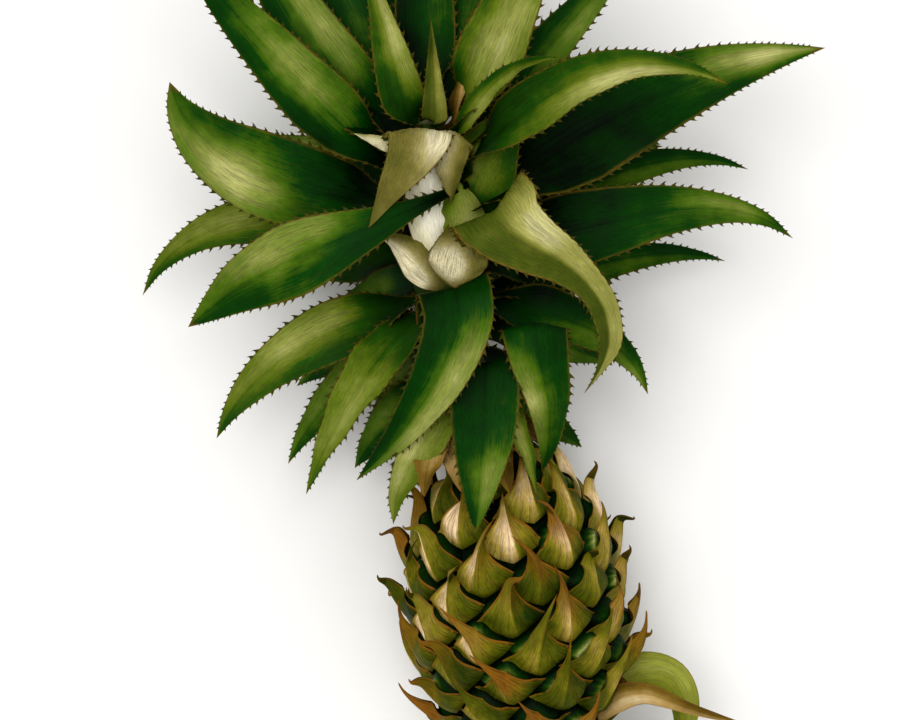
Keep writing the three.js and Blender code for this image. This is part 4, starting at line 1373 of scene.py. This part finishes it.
def add_stalk(skin):
    """The cut stalk: ribbed, ringed where leaves were, and pale and dished at the cut."""
    draw = random.Random("stalk")
    sides, rows = 72, 44
    dents = [draw.uniform(-0.35, 0.35) for _ in range(sides)]
    scars = sorted(draw.uniform(4, STALK_LENGTH - 5) for _ in range(5))
    rings, tints = [], []
    for i in range(rows + 1):
        along = mix(-STALK_LENGTH, STALK_INSIDE, i / rows)
        scar = max(hill(-along, place, 0.9) for place in scars)
        bevel = smooth(-along, STALK_LENGTH - 1.2, STALK_LENGTH)
        radii = [STALK_RADIUS - 0.4 + dent + 0.7 * scar - bevel for dent in dents]
        rings.append(circle(FRUIT_FOOT + FRUIT_AXIS * along, FRUIT_AXIS, radii))
        tints.append([(clamp(0.3 + dent), scar * 0.9, 0.2, 0) for dent in dents])
    rings = np.array(rings)
    skin.tube(rings, tints, even(sides, 2), even(rows), 0, foot=False)
    add_disc(skin, FRUIT_FOOT - FRUIT_AXIS * STALK_LENGTH, -FRUIT_AXIS, rings[0], draw)
    add_disc(skin, FRUIT_FOOT + FRUIT_AXIS * STALK_INSIDE, FRUIT_AXIS, rings[-1][::-1], draw)


def add_disc(skin, middle, outward, rim, draw):
    """A cut face inside a rim of points: a darker ring of bast round a pithy middle."""
    middle, outward = np.array(middle), np.array(outward)
    sides = len(rim)
    rings, tints = [], []
    for share in DISC_RINGS:
        dish = -DISH_DEPTH * (1 - share**2) if share < 1 else 0.0
        rough = [draw.uniform(-0.12, 0.12) * (share < 1) for _ in range(sides)]
        rings.append([mix(middle, p, share) + outward * (dish + r) for p, r in zip(rim, rough)])
        dry = 0.8 * hill(share, BAST_PLACE, 0.06) + 0.7 * (share == 1)
        tints.append([(0.4 + draw.uniform(-0.2, 0.3), dry, 0.2, 0)] * sides)
    along = [1 - share for share in DISC_RINGS]
    tip = middle - outward * 0.5, (0.5, 0, 0, 0)
    skin.tube(np.array(rings), tints, even(sides, 3), along, 1, tip, foot=False)


def add_core(skin):
    """The core of the crown, ringed by the feet of its leaves."""
    sides, rows = 40, 60
    rings = []
    for i in range(rows + 1):
        u = mix(-CORE_INSIDE / CORE_LENGTH, 1, i / rows)
        centre, axis = core_point(clamp(u))
        centre += axis * (u - clamp(u)) * CORE_LENGTH
        radius = core_radius(u) - 0.3 + 0.35 * math.sin(i * 1.3)
        rings.append(circle(centre, axis, [radius] * sides))
    rings = np.array(rings)
    tints = np.zeros((*rings.shape[:2], 4))
    # painted shade: the core is dark where it stands among the leaf bases
    tints[..., 2] = 0.8
    tip = CORE_TIP + core_point(1)[1] * 3, (0.3, 0, 0, 0.3)
    skin.tube(rings, tints, even(sides, 2), even(rows), 0, tip, foot=False)
    foot, axis = core_point(0)
    add_disc(skin, foot - axis * CORE_INSIDE, -axis, rings[0], random.Random("core"))


# ---- dry scales --------------------------------------------------------------------


def scale_leaf(i, draw):
    """A dry scale that leaves the foot of the crown and lies out over the shoulder."""
    return Leaf(
        f"scale_{i + 1}",
        up=draw.uniform(0.02, 0.1),
        side=math.degrees(i * GOLDEN_ANGLE) % 360,
        length=draw.uniform(34, 52),
        width=draw.uniform(17, 25),
        bend=(draw.uniform(76, 92), draw.uniform(150, 190), draw.uniform(0.7, 1)),
        face=0.1, neck=0.9, belly=0.3, point=1.7, finish="dry", spines=0,
        fold=draw.uniform(0.02, 0.2),
        glow=(draw.uniform(0.3, 0.6), draw.uniform(-0.4, 0.4), 0.3, draw.uniform(0.4, 1)),
    )


def rest_on_rind(rings):
    """Moves a scale's points that lie in the fruit out to a height over the barrel."""
    for ring in rings:
        for k, point in enumerate(ring):
            here = Vector(point)
            surface = onto_barrel(here)
            lift = SCALE_HEIGHT + SCALE_THICKNESS * (k <= COLUMNS)
            if (here - FRUIT_MIDDLE).length < (surface - FRUIT_MIDDLE).length + lift:
                ring[k] = surface + barrel_normal(surface) * lift


# ---- the stage ---------------------------------------------------------------------


def add_floor(settings):
    """A wide pale floor with a faint grain."""
    mesh = bpy.data.meshes.new("floor")
    corners = [(x * FLOOR_REACH, y * FLOOR_REACH, 0) for x, y in ((-1, -1), (1, -1), (1, 1), (-1, 1))]
    mesh.from_pydata(corners, [], [(0, 1, 2, 3)])
    wires = Wires("floor_paper")
    grain = wires.noise(wires.node("ShaderNodeTexCoord").outputs["Object"], 9.0, 5.0, 0.6)
    colour = tuple(settings.floor_colour)
    darker = tuple(FLOOR_GRAIN * c for c in colour)
    wires.set(wires.shader.inputs["Base Color"], wires.blend(grain, colour, darker))
    wires.shader.inputs["Roughness"].default_value = 0.95
    wires.shader.inputs["Specular IOR Level"].default_value = 0.1
    mesh.materials.append(wires.material)
    floor = bpy.data.objects.new("floor", mesh)
    bpy.context.scene.collection.objects.link(floor)


def add_lights(scene, settings):
    """A bright backdrop, a soft key light and a weaker one to fill its shadows."""
    world = bpy.data.worlds.new("studio")
    scene.world = world
    world.use_nodes = True
    backdrop = world.node_tree.nodes["Background"]
    backdrop.inputs["Color"].default_value = (1.0, 0.99, 0.97, 1)
    backdrop.inputs["Strength"].default_value = BACKDROP
    for name, place, share in LIGHTS:
        light = bpy.data.lights.new(name, "AREA")
        light.size = LIGHT_SIZE
        light.energy = settings.key_power * share
        lamp = bpy.data.objects.new(name, light)
        lamp.location = place
        lamp.rotation_euler = Vector(place).to_track_quat("Z", "Y").to_euler()
        scene.collection.objects.link(lamp)


def add_camera(scene, settings):
    """A camera high over the fruit that looks straight down."""
    camera = bpy.data.cameras.new("camera")
    camera.lens = camera.sensor_width * (settings.camera_height - LEAF_HEIGHT) / settings.view_width
    camera.clip_end = 20
    camera.dof.use_dof = False
    eye = bpy.data.objects.new("camera", camera)
    eye.location = (SHIFT.x * MM, SHIFT.y * MM, settings.camera_height)
    scene.collection.objects.link(eye)
    scene.camera = eye
    scene.view_settings.view_transform = "Standard"


# ---- settings ----------------------------------------------------------------------


class PineappleFruitSettings(bpy.types.PropertyGroup):
    """Sizes of the eyes and bracts of the rind."""

    eye_height: FloatProperty(
        name="Eye height",
        description="How far an eye bulges over the barrel",
        default=0.0052, unit="LENGTH",
    )
    bract_length: FloatProperty(
        name="Bract length",
        description="From the base of a bract to its thin tip",
        default=0.039, unit="LENGTH",
    )
    bract_rise: FloatProperty(
        name="Bract rise",
        description="How far the keel of a bract stands off the rind",
        default=0.0125, unit="LENGTH",
    )
    seed: IntProperty(name="Seed", description="Starts the random differences between eyes", default=7)


class PineappleLeafSettings(bpy.types.PropertyGroup):
    """Sizes of what is fine on the leaves."""

    spine_spacing: FloatProperty(
        name="Spine spacing",
        description="Distance between spines on an edge",
        default=0.0052, unit="LENGTH",
    )
    spine_length: FloatProperty(
        name="Spine length", description="Length of the longest spines", default=0.0027, unit="LENGTH"
    )
    rib_depth: FloatProperty(
        name="Rib depth",
        description="Height of the ribs that run along a blade",
        default=0.00014, unit="LENGTH",
    )


class PineappleStageSettings(bpy.types.PropertyGroup):
    """The floor, the lights and the camera."""

    floor_colour: FloatVectorProperty(
        name="Floor colour",
        description="Colour of the floor",
        subtype="COLOR", default=(0.86, 0.855, 0.84),
    )
    camera_height: FloatProperty(
        name="Camera height",
        description="Height of the camera over the floor",
        default=2.6, unit="LENGTH",
    )
    view_width: FloatProperty(
        name="View width",
        description="Width that the camera takes in at the leaves",
        default=0.45, unit="LENGTH",
    )
    key_power: FloatProperty(
        name="Key light", description="Power of the main soft light", default=46, unit="POWER"
    )


# ---- operators ---------------------------------------------------------------------


class PINEAPPLE_OT_stem(bpy.types.Operator):
    """Builds the cut stalk and the core of the crown"""

    bl_idname = "pineapple.stem"
    bl_label = "Stem"

    def execute(self, context):
        stalk = Skin()
        add_stalk(stalk)
        stalk.build("stalk_wood", ("stalk", "cut"), "stalk", "stalk")
        core = Skin()
        add_core(core)
        core.build("crown_core_wood", ("stalk", "cut"), "stalk", "crown_core")
        return {"FINISHED"}


class PINEAPPLE_OT_crown(bpy.types.Operator):
    """Builds every leaf of the crown"""

    bl_idname = "pineapple.crown"
    bl_label = "Crown leaves"

    def execute(self, context):
        for leaf in [*CROWN_LEAVES, *under_leaves()]:
            build_leaf(leaf)
        return {"FINISHED"}


class PINEAPPLE_OT_stalk_leaves(bpy.types.Operator):
    """Builds the leaves of the stalk"""

    bl_idname = "pineapple.stalk_leaves"
    bl_label = "Stalk leaves"

    def execute(self, context):
        for leaf in STALK_LEAVES:
            build_leaf(leaf)
        return {"FINISHED"}


class PINEAPPLE_OT_scales(bpy.types.Operator):
    """Builds the dry scales round the foot of the crown"""

    bl_idname = "pineapple.scales"
    bl_label = "Dry scales"

    def execute(self, context):
        draw = random.Random("scales")
        skin = Skin()
        for i in range(SCALES):
            add_leaf(skin, scale_leaf(i, draw), draw, (0, 0), on_rind=True)
        skin.build("shoulder_scales", ("dry",), "rind", "fruit")
        return {"FINISHED"}


class PINEAPPLE_OT_rind(bpy.types.Operator):
    """Builds the eyes and the bracts of the fruit"""

    bl_idname = "pineapple.rind"
    bl_label = "Rind"

    def execute(self, context):
        points, faces = [], []
        for piece in bpy.data.objects:
            if piece.name.endswith("_blade") or piece.name == "shoulder_scales":
                first = len(points)
                points += [v.co / MM - SHIFT for v in piece.data.vertices]
                faces += [[first + i for i in face.vertices] for face in piece.data.polygons]
        if not faces:
            raise RuntimeError("the leaves are built before the rind")
        roof = roof_of(BVHTree.FromPolygons(points, faces))
        draw = random.Random(context.scene.pineapple_fruit.seed)
        centres = eye_centres()
        cells = eye_cells(centres)
        eyes, bracts = Skin(), Skin()
        add_furrows(eyes)
        for centre, cell in zip(centres, cells):
            add_eye(eyes, centre, cell, draw)
            add_bract(bracts, centre, cell, draw, roof)
        eyes.build("rind_eyes", ("eye", "furrow"), "rind", "fruit")
        bracts.build("rind_bracts", ("bract", "bract_inside"), "rind", "fruit")
        return {"FINISHED"}


class PINEAPPLE_OT_stage(bpy.types.Operator):
    """Sets the pale floor, the soft lights and the camera over the fruit"""

    bl_idname = "pineapple.stage"
    bl_label = "Stage"

    def execute(self, context):
        settings = context.scene.pineapple_stage
        add_floor(settings)
        add_lights(context.scene, settings)
        add_camera(context.scene, settings)
        return {"FINISHED"}


class PINEAPPLE_PT_panel(bpy.types.Panel):
    """Lists the steps and their settings"""

    bl_idname = "PINEAPPLE_PT_panel"
    bl_label = "Pineapple"
    bl_space_type = "VIEW_3D"
    bl_region_type = "UI"
    bl_category = "Pineapple"

    def draw(self, context):
        layout = self.layout
        for step in STEPS:
            layout.operator(step.bl_idname)
        for group in SETTINGS:
            box = layout.box()
            values = getattr(context.scene, group)
            for name in values.bl_rna.properties.keys():
                if name not in {"rna_type", "name"}:
                    box.prop(values, name)


SETTINGS = {
    "pineapple_fruit": PineappleFruitSettings,
    "pineapple_leaves": PineappleLeafSettings,
    "pineapple_stage": PineappleStageSettings,
}
STEPS = (
    PINEAPPLE_OT_stem,
    PINEAPPLE_OT_crown,
    PINEAPPLE_OT_stalk_leaves,
    PINEAPPLE_OT_scales,
    PINEAPPLE_OT_rind,
    PINEAPPLE_OT_stage,
)
CLASSES = (*SETTINGS.values(), *STEPS, PINEAPPLE_PT_panel)


def register():
    for item in CLASSES:
        bpy.utils.register_class(item)
    for name, group in SETTINGS.items():
        setattr(bpy.types.Scene, name, PointerProperty(type=group))


def unregister():
    for name in SETTINGS:
        delattr(bpy.types.Scene, name)
    for item in reversed(CLASSES):
        bpy.utils.unregister_class(item)


def main():
    register()
    bpy.ops.pineapple.stem()
    bpy.ops.pineapple.crown()
    bpy.ops.pineapple.stalk_leaves()
    bpy.ops.pineapple.scales()
    bpy.ops.pineapple.rind()
    bpy.ops.pineapple.stage()


if __name__ == "__main__":
    main()
